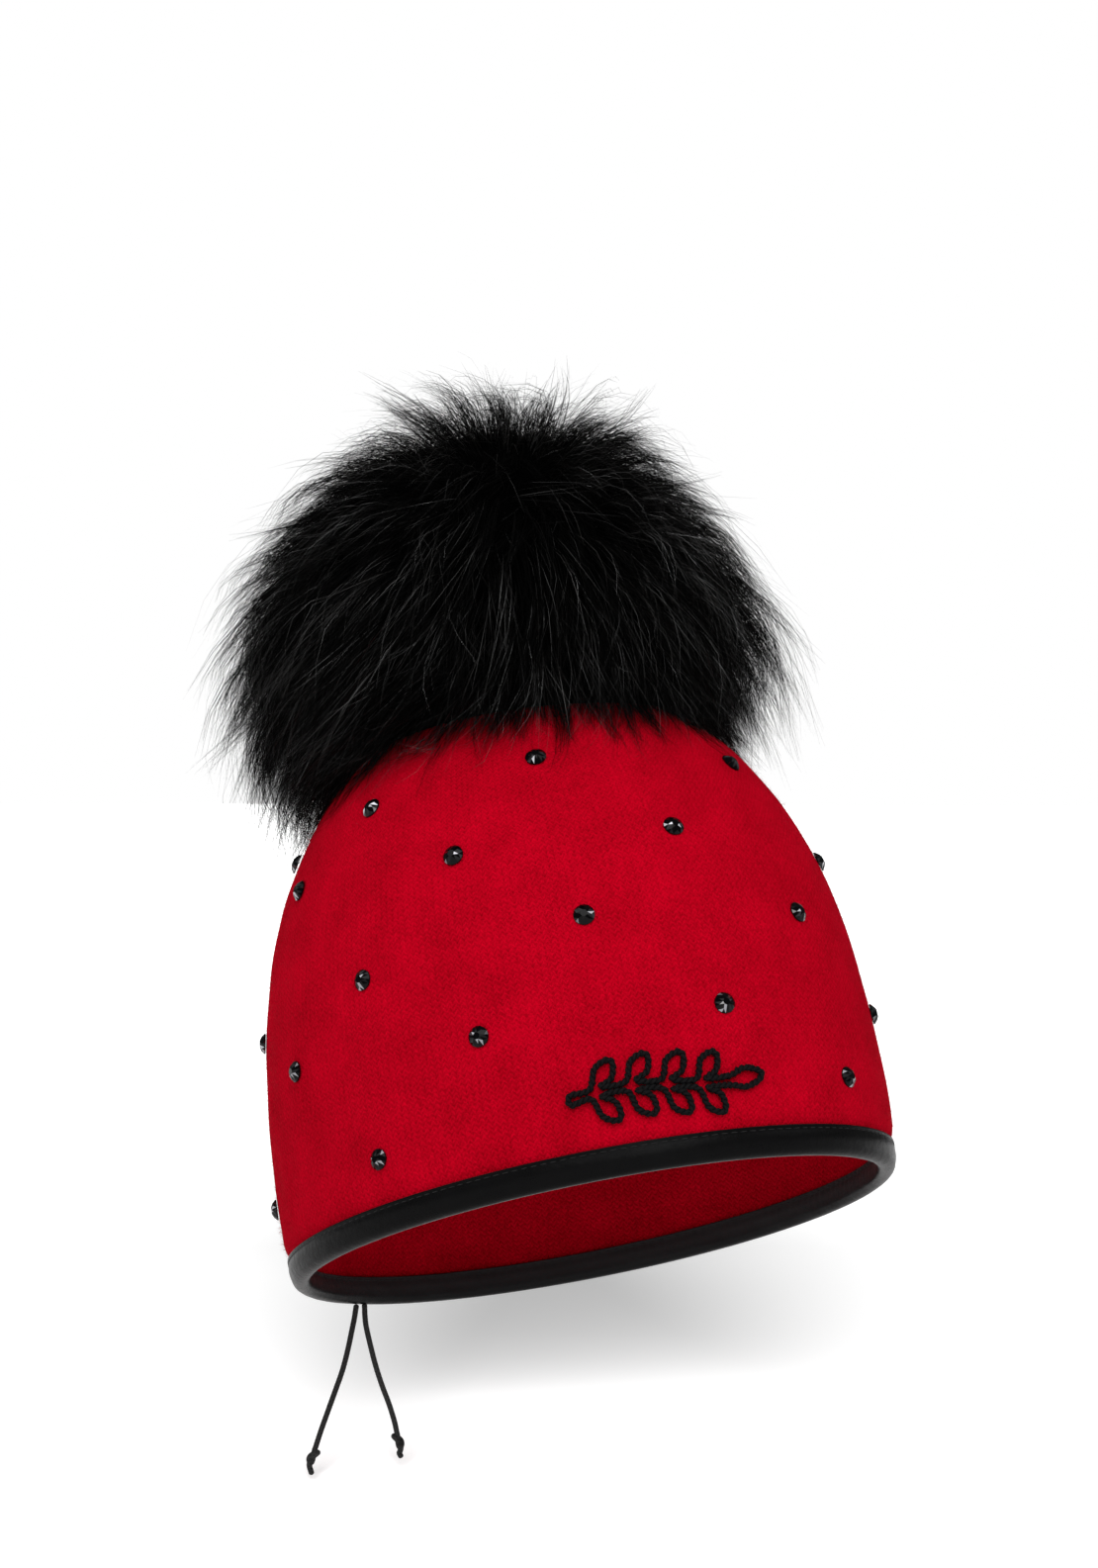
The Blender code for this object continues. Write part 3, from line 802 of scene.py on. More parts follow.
def capsule(name, length, radius):
    """A short round-ended stitch along X, sunk at its ends."""
    stations = np.linspace(-1, 1, 5)
    girth = radius * np.sqrt(np.clip(1 - np.abs(stations) ** 4 * 0.92, 0, 1))
    points = np.stack((stations * length / 2, 0 * stations, -radius * 1.3 * stations ** 4), axis=1)
    return link(name, tube_mesh(name, points, girth, 5))


def ripple(points, scale, seed):
    """Smooth unevenness between about -1 and 1 over points, with a scale in radians a metre."""
    chance = np.random.default_rng(seed)
    total = np.zeros(points.shape[:-1])
    for _ in range(6):
        way = chance.normal(size=3)
        way *= scale * chance.uniform(0.6, 1.4) / np.linalg.norm(way)
        total += np.sin(points @ way + chance.uniform(0, 2 * np.pi))
    return total / 3.0


def crown_rings(around, low, top, count, inset=0.0):
    """Bearings round the crown, heights at even steps of arc up it, and the arc at each step."""
    bearing = turns(around)[None, :]
    fine = low + (top - low) * np.sin(np.linspace(0, 1, 400) * np.pi / 2)
    arc = arc_length(crown_points(0.0, fine, inset))
    steps = np.linspace(0, arc[-1], count)
    return bearing, np.interp(steps, arc, fine)[:, None] + 0 * bearing, steps


def seat_edge(bearing):
    """Height on the crown where a line from the pompom's middle just touches it."""
    low, high = BULGE_HEIGHT, CROWN_HEIGHT
    while high - low > 0.00003:
        middle = (low + high) / 2
        sight = crown_points(bearing, middle, -POMPOM_SEAT_GAP) - pompom_centre()
        if crown_normals(bearing, middle) @ sight > 0:
            low = middle
        else:
            high = middle
    return high


def pompom_centre():
    """Middle of the pompom, above the crown's top along the hat's own lean."""
    return np.array((0.0, -CROWN_LEAN * (CROWN_HEIGHT + POMPOM_RISE), CROWN_HEIGHT + POMPOM_RISE))


def pompom_shell(columns, shares, depth):
    """Points inside the fur at a share of its reach, with their directions, reach, seat edge and bearings."""
    centre = pompom_centre()
    bearings = turns(columns)
    edges = np.array([seat_edge(b) for b in bearings])
    sight = crown_points(bearings, edges, -POMPOM_SEAT_GAP) - centre
    limit = np.arctan2(np.hypot(sight[:, 0], sight[:, 1]), sight[:, 2]) - SKIRT_LIFT
    angle = shares[:, None] * limit[None, :]
    turn = np.broadcast_to(bearings, angle.shape)
    sine, cosine = np.sin(angle), np.cos(angle)
    outwards = np.stack((sine * np.sin(turn), -sine * np.cos(turn), cosine), axis=-1)
    downhill = np.stack((cosine * np.sin(turn), -cosine * np.cos(turn), -sine), axis=-1)
    known, reaches = zip(*POMPOM_REACH)
    reach = POMPOM_RADIUS * np.interp(shares, known, reaches)
    points = centre + outwards * (reach * depth)[:, None, None]
    return points, outwards, downhill, reach, edges, bearings


def view_axes():
    """Level directions to the camera's right and from the hat to the camera."""
    right = Vector((math.cos(VIEW_AZIMUTH), math.sin(VIEW_AZIMUTH), 0.0))
    return right, Vector((math.sin(VIEW_AZIMUTH), -math.cos(VIEW_AZIMUTH), 0.0))


def seen_way(right, up, towards):
    """Direction in the hat's own axes from its parts to the right, upwards and towards the camera."""
    across, back = view_axes()
    way = across * right + back * towards + Vector((0.0, 0.0, up))
    return np.array(HAT_AXES.to_3x3().inverted() @ way.normalized())


def metres(name, description, default):
    """A length that a user may change."""
    return bpy.props.FloatProperty(
        name=name, description=description, default=default, min=0.0, precision=5, unit="LENGTH")


def colour(name, description, default):
    """A colour that a user may change."""
    return bpy.props.FloatVectorProperty(
        name=name, description=description, default=default, size=3, min=0.0, max=1.0, subtype="COLOR")


def amount(name, description, default, low=0.0, high=1.0):
    """A plain number that a user may change."""
    return bpy.props.FloatProperty(name=name, description=description, default=default, min=low, max=high)


class CrownSizes(bpy.types.PropertyGroup):
    """Milled knit crown and its nap."""
    red: colour("Red", "Colour of the wool", (0.40, 0.0003, 0.0090))
    wale: metres("Wale", "Width of one column of stitches", 0.0021)
    course: metres("Course", "Height of one row of stitches", 0.0016)
    unevenness: metres("Unevenness", "How far the cloth swells and sinks", 0.00035)
    pucker: metres("Pucker", "Depth of the gathers at the leather", 0.00035)
    nap_length: metres("Nap length", "Length of the wool's loose fibres", 0.0011)
    nap_girth: metres("Nap girth", "Half width of one fibre", 0.00003)
    nap_density: amount("Nap density", "Fibres to the square metre", 420000.0, 0.0, 2000000.0)


class BindingSizes(bpy.types.PropertyGroup):
    """Folded leather edge and its stitches."""
    black: colour("Black", "Colour of the leather", (0.0025, 0.0025, 0.0026))
    puff: metres("Puff", "How far the leather swells between stitches and fold", 0.00035)
    stitch_length: metres("Stitch length", "Length of one stitch", 0.0021)
    stitch_pitch: metres("Stitch pitch", "Distance from stitch to stitch", 0.0030)
    thread: metres("Thread", "Half thickness of the sewing thread", 0.00014)
    seam_height: metres("Seam height", "Height of the stitches over the lower edge", 0.0074)


class CrystalSizes(bpy.types.PropertyGroup):
    """Flat-backed faceted stones."""
    black: colour("Black", "Colour of the stones", (0.0010, 0.0010, 0.0012))
    radius: metres("Radius", "Half width of a stone", 0.0032)
    height: metres("Height", "Height of a stone over its flat back", 0.0019)
    girdle: metres("Girdle", "Height of a stone's upright rim", 0.0004)
    table: metres("Table", "Half width of the flat top", 0.0011)


class SprigSizes(bpy.types.PropertyGroup):
    """Couched two-ply cord in the form of a sprig."""
    black: colour("Black", "Colour of the yarn", (0.0024, 0.0024, 0.0026))
    ply_pitch: metres("Ply pitch", "Length of one turn of the plies", 0.0034)
    stitch_pitch: metres("Stitch pitch", "Distance between couching stitches", 0.0042)


class DrawcordSizes(bpy.types.PropertyGroup):
    """Braided elastic cord ends and their knots."""
    black: colour("Black", "Colour of the cord", (0.014, 0.014, 0.014))
    carriers: amount("Carriers", "Strands of the braid each way", 4.0, 1.0, 12.0)
    braid: metres("Braid", "Length of one crossing of the braid", 0.0016)


class FurSizes(bpy.types.PropertyGroup):
    """Long hair of the pompom."""
    black: colour("Black", "Colour of the fur", (0.0006, 0.0006, 0.0006))
    tip: colour("Lighter hair", "Colour of the lighter hairs", (0.0100, 0.0094, 0.0088))
    density: amount("Density", "Hairs to the square metre of skin in a coat", 640000.0, 0.0, 5000000.0)
    girth: metres("Girth", "Half width of one hair", 0.000085)
    lock_spacing: metres("Lock spacing", "Distance between the middles of the locks", 0.0050)
    skin_depth: amount("Skin depth", "Where the hairs start, as a share of the fur's reach", 0.70)


class StudioSizes(bpy.types.PropertyGroup):
    """Floor, light and camera."""
    key: amount("Key light", "Power of the large front light in watts", 23.5, 0.0, 500.0)
    sky: amount("Sky", "Strength of the light from all round", 0.13, 0.0, 5.0)
    floor_light: amount("Floor light", "Strength of the low light on the floor", 14.0, 0.0, 100.0)
    floor_gap: metres("Floor gap", "Distance from the lowest knot to the floor", 0.0035)


class BuildCrown(bpy.types.Operator):
    """Make the milled knit crown with its inner side, and its nap"""
    bl_idname = "hat.build_crown"
    bl_label = "Knit Crown"

    def face(self, sizes, around, rows, inset, away, highest, swells, gathers):
        """Rows of points up one face of the cloth, swelled and gathered at the leather, and their arc."""
        top = (CROWN_HEIGHT - inset) * POLE_SHARE
        bearing, height, arc = crown_rings(around, BINDING_FLOOR + CLEARANCE, top, rows, inset)
        normal = crown_normals(bearing, np.minimum(height, CROWN_HEIGHT * highest))
        points = crown_points(bearing, height, inset) - normal * tuck(height)[..., None]
        swell = sum(ripple(points, scale, seed) * share for scale, seed, share in swells)
        above = np.clip((height - BINDING_HEIGHT) / 0.010, 0, 1)
        fade, folds, shift, slow, few, start = gathers
        gather = np.exp(-np.clip(height - BINDING_HEIGHT, 0, None) / fade) * (height > BINDING_HEIGHT * 0.9)
        waves = np.sin(bearing * folds + shift * np.sin(bearing * slow)) * np.sin(bearing * few + start)
        relief = away * swell * sizes.unevenness * above - (0.5 + 0.5 * waves) * gather * sizes.pucker
        return points + normal * relief[..., None], arc

    def execute(self, context):
        sizes = context.scene.hat_crown
        around = 300
        outer, arc = self.face(sizes, around, 108, 0.0, 1.0, 0.9985, ((150.0, 3, 0.6), (420.0, 4, 0.4)),
                               (0.006, 61, 1.3, 7, 23, 2.0))
        inner, in_arc = self.face(sizes, around, 52, CROWN_WALL, -1.0, 0.975, ((200.0, 5, 0.4),),
                                  (0.008, 47, 1.1, 5, 19, 0.0))
        rows = np.concatenate((inner[::-1], outer))
        v = np.concatenate((-in_arc[::-1] - CROWN_WALL, arc))
        mesh = grid_mesh("wool_crown", on_head(rows), (CROWN_GIRTH / around, v))
        close_mesh(mesh)
        wool = milled_wool("milled_wool", tuple(sizes.red), sizes.wale, sizes.course)
        dress(link("wool_crown", mesh), wool, "wool", "crown")
        self.grow_nap(sizes, wool)
        return {"FINISHED"}

    def grow_nap(self, sizes, wool):
        """Short loose fibres all over the outside, lying every way."""
        bearing, height, _ = crown_rings(96, BINDING_HEIGHT + 0.001, CROWN_HEIGHT * 0.80, 40)
        normal = crown_normals(bearing, height)
        points = crown_points(bearing, height) - normal * (tuck(height) + 0.00025)[..., None]
        skin = link("nap_skin", grid_mesh("nap_skin", on_head(points)))
        keep(skin.data, "middle", on_head(normal * sizes.nap_length * 0.6))
        keep(skin.data, "tip", on_head(normal * sizes.nap_length * 0.55))
        grow("wool_nap", skin, strand_tree(3), "wool", {
            "Density": sizes.nap_density, "Lock Spacing": 0.02, "Lock Spread": 0.0, "Lock Pull": 0.0,
            "Stray": sizes.nap_length, "Girth": sizes.nap_girth, "Form": None, "Clear": 0.0, "Seed": 5,
            "Shortest": 0.5, "Longest": 1.6, "Material": wool,
        })


def close_mesh(mesh):
    """Fills the small holes at a dome's poles and turns all faces outwards."""
    work = bmesh.new()
    work.from_mesh(mesh)
    bmesh.ops.holes_fill(work, edges=[e for e in work.edges if e.is_boundary], sides=0)
    bmesh.ops.recalc_face_normals(work, faces=work.faces[:])
    for face in work.faces:
        face.smooth = True
    work.to_mesh(mesh)
    work.free()


def keep(mesh, name, values):
    """Keeps one number or vector at each vertex under a name."""
    values = np.asarray(values, dtype=np.float32)
    kind, field = ("FLOAT", "value") if values.ndim == 1 else ("FLOAT_VECTOR", "vector")
    mesh.attributes.new(name, kind, "POINT").data.foreach_set(field, values.reshape(-1))


class BuildBinding(bpy.types.Operator):
    """Make the folded leather edge and sew it on"""
    bl_idname = "hat.build_binding"
    bl_label = "Leather Binding"

    def section(self, sizes):
        """Round-edged U of leather as pairs of inset and height."""
        radius = BINDING_THICKNESS / 2
        lip = [(LEATHER, 0.0083), (0.0008, 0.00852), (0.00045, 0.0086), (0.00012, 0.00845), (0.00002, 0.0081)]
        outer = [(0.00016, sizes.seam_height), (-0.2 * sizes.puff, 0.0066), (-0.7 * sizes.puff, 0.0057),
                 (-sizes.puff, 0.0046), (-0.75 * sizes.puff, 0.0035)]
        fill = 0.4 * sizes.puff
        steps = [math.pi * i / 11 for i in range(12)]
        fold = [((radius + fill) * (1 - math.cos(a)) - fill, radius * (1 - math.sin(a))) for a in steps]
        inner = [(BINDING_THICKNESS - i, h) for i, h in reversed(outer[:4])]
        in_lip = [(BINDING_THICKNESS - i, h) for i, h in reversed(lip)]
        slot = [(BINDING_THICKNESS - LEATHER, BINDING_FLOOR), (LEATHER, BINDING_FLOOR)]
        return np.array(lip + outer + fold + inner + in_lip + slot)

    def execute(self, context):
        sizes = context.scene.hat_binding
        around = 560
        inset, height = self.section(sizes).T
        bearing = turns(around)[:, None]
        base = crown_points(bearing, np.clip(height, 0, None) + 0 * bearing, inset + 0 * bearing)
        normal = crown_normals(bearing, np.clip(height, 0.0005, None) + 0 * bearing)
        near = LEATHER * 0.5
        seen = (inset < near) | (inset > BINDING_THICKNESS - near) | (height < BINDING_FLOOR * 0.9)
        skin = (height < 0.0084) & seen
        away = np.where(inset < BINDING_THICKNESS / 2, 1.0, -1.0)
        within = inset > BINDING_THICKNESS / 2
        sewn = np.exp(-((height - sizes.seam_height) / np.where(within, 0.0030, 0.0011)) ** 2)
        stitches = round(CROWN_GIRTH / sizes.stitch_pitch)
        drawn = -np.where(within, 0.00030, 0.00012) * sewn * (0.5 + 0.5 * np.cos(bearing * stitches))
        wrinkle = ripple(base, 900.0, 8) * 0.5 + ripple(base, 420.0, 9) * 0.6
        relief = (wrinkle * 0.00007 * np.where(within, 2.2, 0.7) + drawn) * (skin * away)
        mesh = grid_mesh("leather_binding", on_head(base + normal * relief[..., None]), closed_rows=True)
        # Painted light: the leather's inner side is marked for a lighter colour, fading out over its lowest
        # four millimetres.
        keep(mesh, "inner_painted_light", np.tile(within * np.clip(height / 0.004, 0, 1), around))
        close_mesh(mesh)
        leather = nappa_leather("nappa_leather", tuple(sizes.black))
        dress(link("leather_binding", mesh), leather, "leather", "rim_binding")
        self.sew(sizes)
        return {"FINISHED"}

    def sew(self, sizes):
        """A row of stitches on each side of the edge."""
        thread = spun_yarn("sewing_thread", (0.012, 0.012, 0.012), 0.45)
        shape = capsule("stitch_shape", sizes.stitch_length, sizes.thread)
        graph = repeat_tree()
        bearing = turns(720)
        height = np.full_like(bearing, sizes.seam_height)
        normal = on_head(crown_normals(bearing, height))
        sunk = 0.00008
        for side, inset, away in (("outer", sunk, 1.0), ("inner", BINDING_THICKNESS - sunk, -1.0)):
            line = line_object(f"seam_{side}", on_head(crown_points(bearing, height, inset)), normal * away)
            grow(f"binding_stitches_{side}", line, graph, "leather", {
                "Pitch": sizes.stitch_pitch, "Shape": shape, "Slant": 0.0, "Uneven": 0.05, "Seed": 3,
                "Material": thread,
            })
        drop(shape)


class BuildCrystals(bpy.types.Operator):
    """Make the faceted stones in their five rows"""
    bl_idname = "hat.build_crystals"
    bl_label = "Crystals"

    # Facets that mirror their foil: sector, facet in it, share
    BRIGHT_FACETS = ((0, 0, 1.0), (0, 3, 1.0), (0, 4, 1.0), (3, 2, 1.0), (3, 4, 1.0), (5, 1, 0.5))

    def gem(self, sizes):
        """One stone: sixteen-sided girdle, kite facets, star facets and a small table."""
        def level(count, radius, height, turned=0.0):
            angles = (np.arange(count) + turned) * 2 * np.pi / count
            return [(radius * math.cos(a), radius * math.sin(a), height) for a in angles]

        sides, sectors = 16, 8
        rise = sizes.girdle + (sizes.height - sizes.girdle) * 0.62
        points = (level(sides, sizes.radius, 0.0) + level(sides, sizes.radius, sizes.girdle)
                  + level(sectors, sizes.radius * 0.70, rise, 0.5)
                  + level(sectors, sizes.table, sizes.height))
        girdle, middle, table = sides, 2 * sides, 2 * sides + sectors
        faces = [tuple(reversed(range(sides)))]
        for i in range(sides):
            j = (i + 1) % sides
            faces.append((i, j, girdle + j, girdle + i))
        first_facet = len(faces)
        for i in range(sectors):
            j = (i + 1) % sectors
            a, b, c = girdle + 2 * i, girdle + 2 * i + 1, girdle + (2 * i + 2) % sides
            faces += [(a, b, middle + i), (b, c, middle + i), (c, middle + j, table + j),
                      (c, table + j, middle + i), (middle + i, table + j, table + i)]
        faces.append(tuple(range(table, table + sectors)))
        mesh = bpy.data.meshes.new("gem_shape")
        mesh.from_pydata(points, [], faces)
        foil = mesh.attributes.new("foil", "FLOAT", "FACE")
        for sector, facet, share in self.BRIGHT_FACETS:
            foil.data[first_facet + 5 * sector + facet].value = share
        return link("gem_shape", mesh)

    def execute(self, context):
        sizes = context.scene.hat_crystals
        places = np.array(STONE_PLACES)
        bearing, height = np.radians(places[:, 0]), places[:, 1] * CROWN_HEIGHT
        normal = crown_normals(bearing, height)
        seats = line_object("gem_seats", on_head(crown_points(bearing, height) + normal * STONE_GAP),
                            on_head(normal), closed=False)
        shape = self.gem(sizes)
        crystal = black_crystal("black_crystal", tuple(sizes.black))
        nodes = [f"stone_{number:02d}" for number in range(1, len(places) + 1)]
        values = {"Shape": shape, "Seed": 4, "Material": crystal}
        grow("crystals", seats, gem_tree(), "stone", values, *nodes).data.shade_flat()
        drop(shape)
        return {"FINISHED"}


class BuildSprig(bpy.types.Operator):
    """Make the couched cord sprig and its holding stitches"""
    bl_idname = "hat.build_sprig"
    bl_label = "Couched Sprig"

    def stem(self, share, side):
        """A point of the stem's upper or lower side, or of its middle."""
        wave = MOTIF_WAVE * math.sin(2 * math.pi * share)
        return np.array(((share - 0.5) * MOTIF_LENGTH, wave + side * MOTIF_STEM_WIDTH / 2))

    def leaf(self, share, side):
        """Outline of one leaf from its foot round its tip and back to the stem."""
        foot = self.stem(share, side)
        back_foot = self.stem(share + MOTIF_LEAF_NECK / MOTIF_LENGTH, side)
        outwards = np.array((math.sin(MOTIF_LEAF_LEAN), side * math.cos(MOTIF_LEAF_LEAN)))
        across = np.array((math.cos(MOTIF_LEAF_LEAN), -side * math.sin(MOTIF_LEAF_LEAN)))
        belly = (foot + back_foot) / 2 + outwards * MOTIF_LEAF_LENGTH * MOTIF_LEAF_BELLY
        tip = (foot + back_foot) / 2 + outwards * MOTIF_LEAF_LENGTH
        return [foot, belly - across * MOTIF_LEAF_WIDTH / 2, tip - across * MOTIF_TIP_WIDTH / 2,
                tip + across * MOTIF_TIP_WIDTH / 2, belly + across * MOTIF_LEAF_WIDTH / 2, back_foot]

    def outline(self):
        """The sprig's one closed line: its upper leaves, then the end leaf, then its lower leaves."""
        upper = [point for share in MOTIF_PAIRS for point in self.leaf(share, 1)]
        lower = [point for share in MOTIF_PAIRS for point in self.leaf(share, -1)]
        end = self.stem(1.0, 0)
        belly = (self.stem(MOTIF_END_LEAF, 0) + end) / 2
        swell = np.array((0.0, MOTIF_LEAF_WIDTH / 2))
        blunt = np.array((0.0, MOTIF_TIP_WIDTH / 2))
        end_leaf = [self.stem(MOTIF_END_LEAF, 1), belly + swell, end + blunt, end - blunt, belly - swell,
                    self.stem(MOTIF_END_LEAF, -1)]
        return [self.stem(0.0, 1), *upper, *end_leaf, *reversed(lower), self.stem(0.0, -1)]

    def execute(self, context):
        sizes = context.scene.hat_sprig
        flat = smooth_through([(*p, 0.0) for p in self.outline()], 0.00032, closed=True)
        centre = crown_points(MOTIF_BEARING, MOTIF_RISE)
        bearing = MOTIF_BEARING + flat[:, 0] / math.hypot(centre[0], centre[1])
        height = MOTIF_RISE + flat[:, 1]
        normal = crown_normals(bearing, height)
        line = on_head(crown_points(bearing, height) + normal * (MOTIF_CORD / 2 + CLEARANCE * 0.5))
        away = on_head(normal)
        tangents, _, _ = frames_along(line, closed=True)
        beside = np.cross(tangents, away)
        steps = np.linalg.norm(np.roll(line, -1, axis=0) - line, axis=1)
        turns = round(steps.sum() / sizes.ply_pitch)
        phase = np.cumsum(steps) / steps.sum() * turns * 2 * np.pi
        orbit, girth = MOTIF_CORD * 0.235, MOTIF_CORD * 0.29
        plies = []
        for start in (0.0, math.pi):
            swing = np.cos(phase + start)[:, None] * beside + np.sin(phase + start)[:, None] * away
            plies.append(tube_mesh("ply", line + swing * orbit, girth, 8, closed=True))
        yarn = spun_yarn("couched_yarn", tuple(sizes.black), 0.5)
        dress(link("sprig_cord", joined("sprig_cord", plies)), yarn, "yarn", "motif")
        arc = np.linspace(-0.12, math.pi + 0.12, 11)
        reach = MOTIF_CORD * 0.54
        loop = np.stack((0 * arc, np.cos(arc) * reach, np.sin(arc) * reach - 0.0002), axis=1)
        shape = link("couching_shape", tube_mesh("couching_shape", loop, 0.00016, 5))
        path = line_object("couching_line", line, away)
        thread = spun_yarn("couching_thread", toned(sizes.black, 1.3), 0.4)
        grow("sprig_couching", path, repeat_tree(), "yarn", {
            "Pitch": sizes.stitch_pitch, "Shape": shape, "Slant": 0.35, "Uneven": 0.2, "Seed": 6,
            "Material": thread,
        })
        drop(shape)
        return {"FINISHED"}


class BuildDrawcord(bpy.types.Operator):
    """Make the two hanging ends of the drawcord with their knots"""
    bl_idname = "hat.build_drawcord"
    bl_label = "Drawcord Ends"

    def knot(self, side, middle, along, cord):
        """Overhand knot: a thick cord wound through itself, with a short tail."""
        wide, deep, middle_depth, high, tail_length = 0.00052, 0.00042, 0.00085, 0.000185, 0.0010
        t = np.linspace(-2.03, 2.12, 150)
        ends = 1 - (np.abs(t) / 2.06) ** 8
        x = (t ** 3 - 3 * t) * ends * wide
        y = ((t ** 4 - 4 * t ** 2) * deep + middle_depth) * ends
        z = -(t ** 5 - 10 * t) * high
        local = np.stack((x, y, z), axis=1)
        tail = np.linspace(0, 1, 12)[1:, None]
        outwards = np.array((side * 0.7, -0.15, -0.85))
        local = np.concatenate((local, local[-1] + tail * outwards * tail_length))
        turn = np.array(Vector(-along).to_track_quat("Z", "Y").to_matrix())
        return tube_mesh(f"knot_{cord}", middle + local @ turn.T, CORD_DIAMETER * 0.52, CORD_SIDES)

    def execute(self, context):
        sizes = context.scene.hat_drawcord
        elastic = braided_elastic("braided_elastic", tuple(sizes.black), round(sizes.carriers), sizes.braid)
        fold = on_head(crown_points(CORD_BEARING, 0.0, BINDING_THICKNESS / 2))
        half_face = CORD_DIAMETER / 2 * math.tan(TIP_BACK)
        for cord, side in (("left", -1), ("right", 1)):
            start = fold + np.array((side * CORD_SPACING / 2, 0.0, -CLEARANCE - half_face))
            route = [start + np.array(step) for step in CORD_ROUTES[cord]]
            line = smooth_through(route, 0.00035)
            along = line[-1] - line[-4]
            along /= np.linalg.norm(along)
            name = f"drawcord_{cord}"
            piece = link(name, tube_mesh(name, line, CORD_DIAMETER / 2, CORD_SIDES))
            dress(piece, elastic, "cord", f"cord_{cord}")
            knot = link(f"drawcord_knot_{cord}", self.knot(side, line[-1] + along * KNOT_DROP, along, cord))
            dress(knot, elastic, "cord", f"knot_{cord}")
            tuple(line[0])
        return {"FINISHED"}


class BuildPompom(bpy.types.Operator):
    """Grow the pompom's fur in several coats over its dense middle"""
    bl_idname = "hat.build_pompom"
    bl_label = "Fur Pompom"

    # Columns of the core and of the skin round the pompom
    COLUMNS = 90
    # What sets the coats apart, inmost first
    COAT_INPUTS = (
        "reach more", "lay more", "density", "spacing", "Lock Spread", "Lock Pull", "Stray", "Curl", "girth",
        "Seed",
    )
    COATS = {
        "fur_coat_1": (0.000, 0.9, 0.85, 0.8, 0.0060, 0.80, 0.0018, 0.008, 1.10, 11),
        "fur_coat_2": (0.001, 1.0, 0.95, 0.9, 0.0085, 0.85, 0.0018, 0.012, 0.95, 23),
        "fur_coat_3": (0.002, 1.0, 0.90, 1.1, 0.0105, 0.88, 0.0020, 0.014, 0.85, 37),
        "fur_guard_hairs": (0.004, 1.1, 0.55, 0.8, 0.0110, 0.45, 0.0070, 0.014, 0.60, 53),
    }

    def core(self, fur):
        """Dense dark underfur, its underside fitted to the crown's top."""
        shares = np.linspace(0.015, 1.0, 44)
        points, outwards, _, _, edges, bearings = pompom_shell(self.COLUMNS, shares, CORE_DEPTH)
        lumps = ripple(points, 260.0, 12) * 0.6 + ripple(points, 700.0, 13) * 0.5
        points = points + outwards * (lumps * 0.0016 * np.minimum(1, (1.02 - shares) * 6)[:, None])[..., None]
        seat = []
        for k in range(10):
            height = edges + (CROWN_HEIGHT - edges) * math.sin(math.pi / 2 * min(k / 10 + 0.02, 0.99))
            seat.append(crown_points(bearings, height, -POMPOM_SEAT_GAP))
        mesh = grid_mesh("fur_core", on_head(np.concatenate((points, np.array(seat)))))
        close_mesh(mesh)
        dress(link("fur_core", mesh), fur, "fur", "pompom")

    def skin(self, sizes, reach_more, lay_more):
        """Open shell that the hairs leave, with the way they go kept at each vertex."""
        shares = np.linspace(0.03, 0.995, 40)
        points, outwards, downhill, reach, _, _ = pompom_shell(self.COLUMNS, shares, sizes.skin_depth)
        whorl = seen_way(*WHORL)
        facing = outwards @ whorl
        turned = np.degrees(np.arccos(np.clip(facing, -1, 1)))
        flow = outwards * facing[..., None] - whorl
        flow /= np.maximum(np.linalg.norm(flow, axis=-1, keepdims=True), 0.05)
        far = np.clip((turned - 95) / 45, 0, 1)[..., None]
        flow = flow * (1 - far) + downhill * far
        lay = np.interp(turned, (0, 12, 40, 180), (0.1, 0.5, 1.0, 1.0)) * lay_more
        lay = lay * np.interp(shares, (0.65, 0.85, 1.0), (1.0, 0.6, 0.12))[:, None]
        uneven = 1.04 + 0.10 * ripple(points, 130.0, 24)
        rise = (reach * (1 - sizes.skin_depth) + reach_more)[:, None] * uneven
        for *way, extra, width in TUFTS:
            rise = rise + extra * np.exp((outwards @ seen_way(*way) - 1) / width)
        rise, lay = rise[..., None], lay[..., None]
        swirl = ripple(points, 75.0, 21)[..., None] * 0.35
        wave = ripple(points, 110.0, 22)[..., None] * 0.35 + 1.0
        droop = seen_way(0.0, -1.0, 0.0) * 0.16
        along = flow * lay * wave + np.cross(flow, outwards) * swirl + droop
        piece = link("fur_skin", grid_mesh("fur_skin", on_head(points)))
        keep(piece.data, "tip", on_head((outwards * (1 - 0.30 * lay) + along) * rise))
        keep(piece.data, "middle", on_head((outwards * 0.80 + along * 0.12) * rise))
        return piece

    def execute(self, context):
        sizes = context.scene.hat_fur
        black, tip = tuple(sizes.black), tuple(sizes.tip)
        fur = dyed_fur("dyed_fur", black, toned(tip, 0.4), 0.018, 0.30)
        guard = dyed_fur("guard_hair", toned(tip, 0.2), toned(tip, 2.5), 0.45, 0.24)
        self.core(dyed_fur("under_fur", black, black, 0.0, 0.85))
        bearing, height, _ = crown_rings(64, BINDING_HEIGHT, CROWN_HEIGHT * 0.9999, 40)
        mesh = grid_mesh("crown_form", on_head(crown_points(bearing, height)))
        close_mesh(mesh)
        form = link("crown_form", mesh)
        graph = strand_tree(6)
        for name, row in self.COATS.items():
            coat = dict(zip(self.COAT_INPUTS, row))
            skin = self.skin(sizes, coat.pop("reach more"), coat.pop("lay more"))
            grow(name, skin, graph, "fur", {
                "Density": sizes.density * coat.pop("density"),
                "Lock Spacing": sizes.lock_spacing * coat.pop("spacing"),
                "Girth": sizes.girth * coat.pop("girth"),
                "Shortest": 0.7, "Longest": 1.08, "Form": form, "Clear": HAIR_CLEAR,
                "Material": guard if name == "fur_guard_hairs" else fur, **coat,
            })
        drop(form)
        return {"FINISHED"}


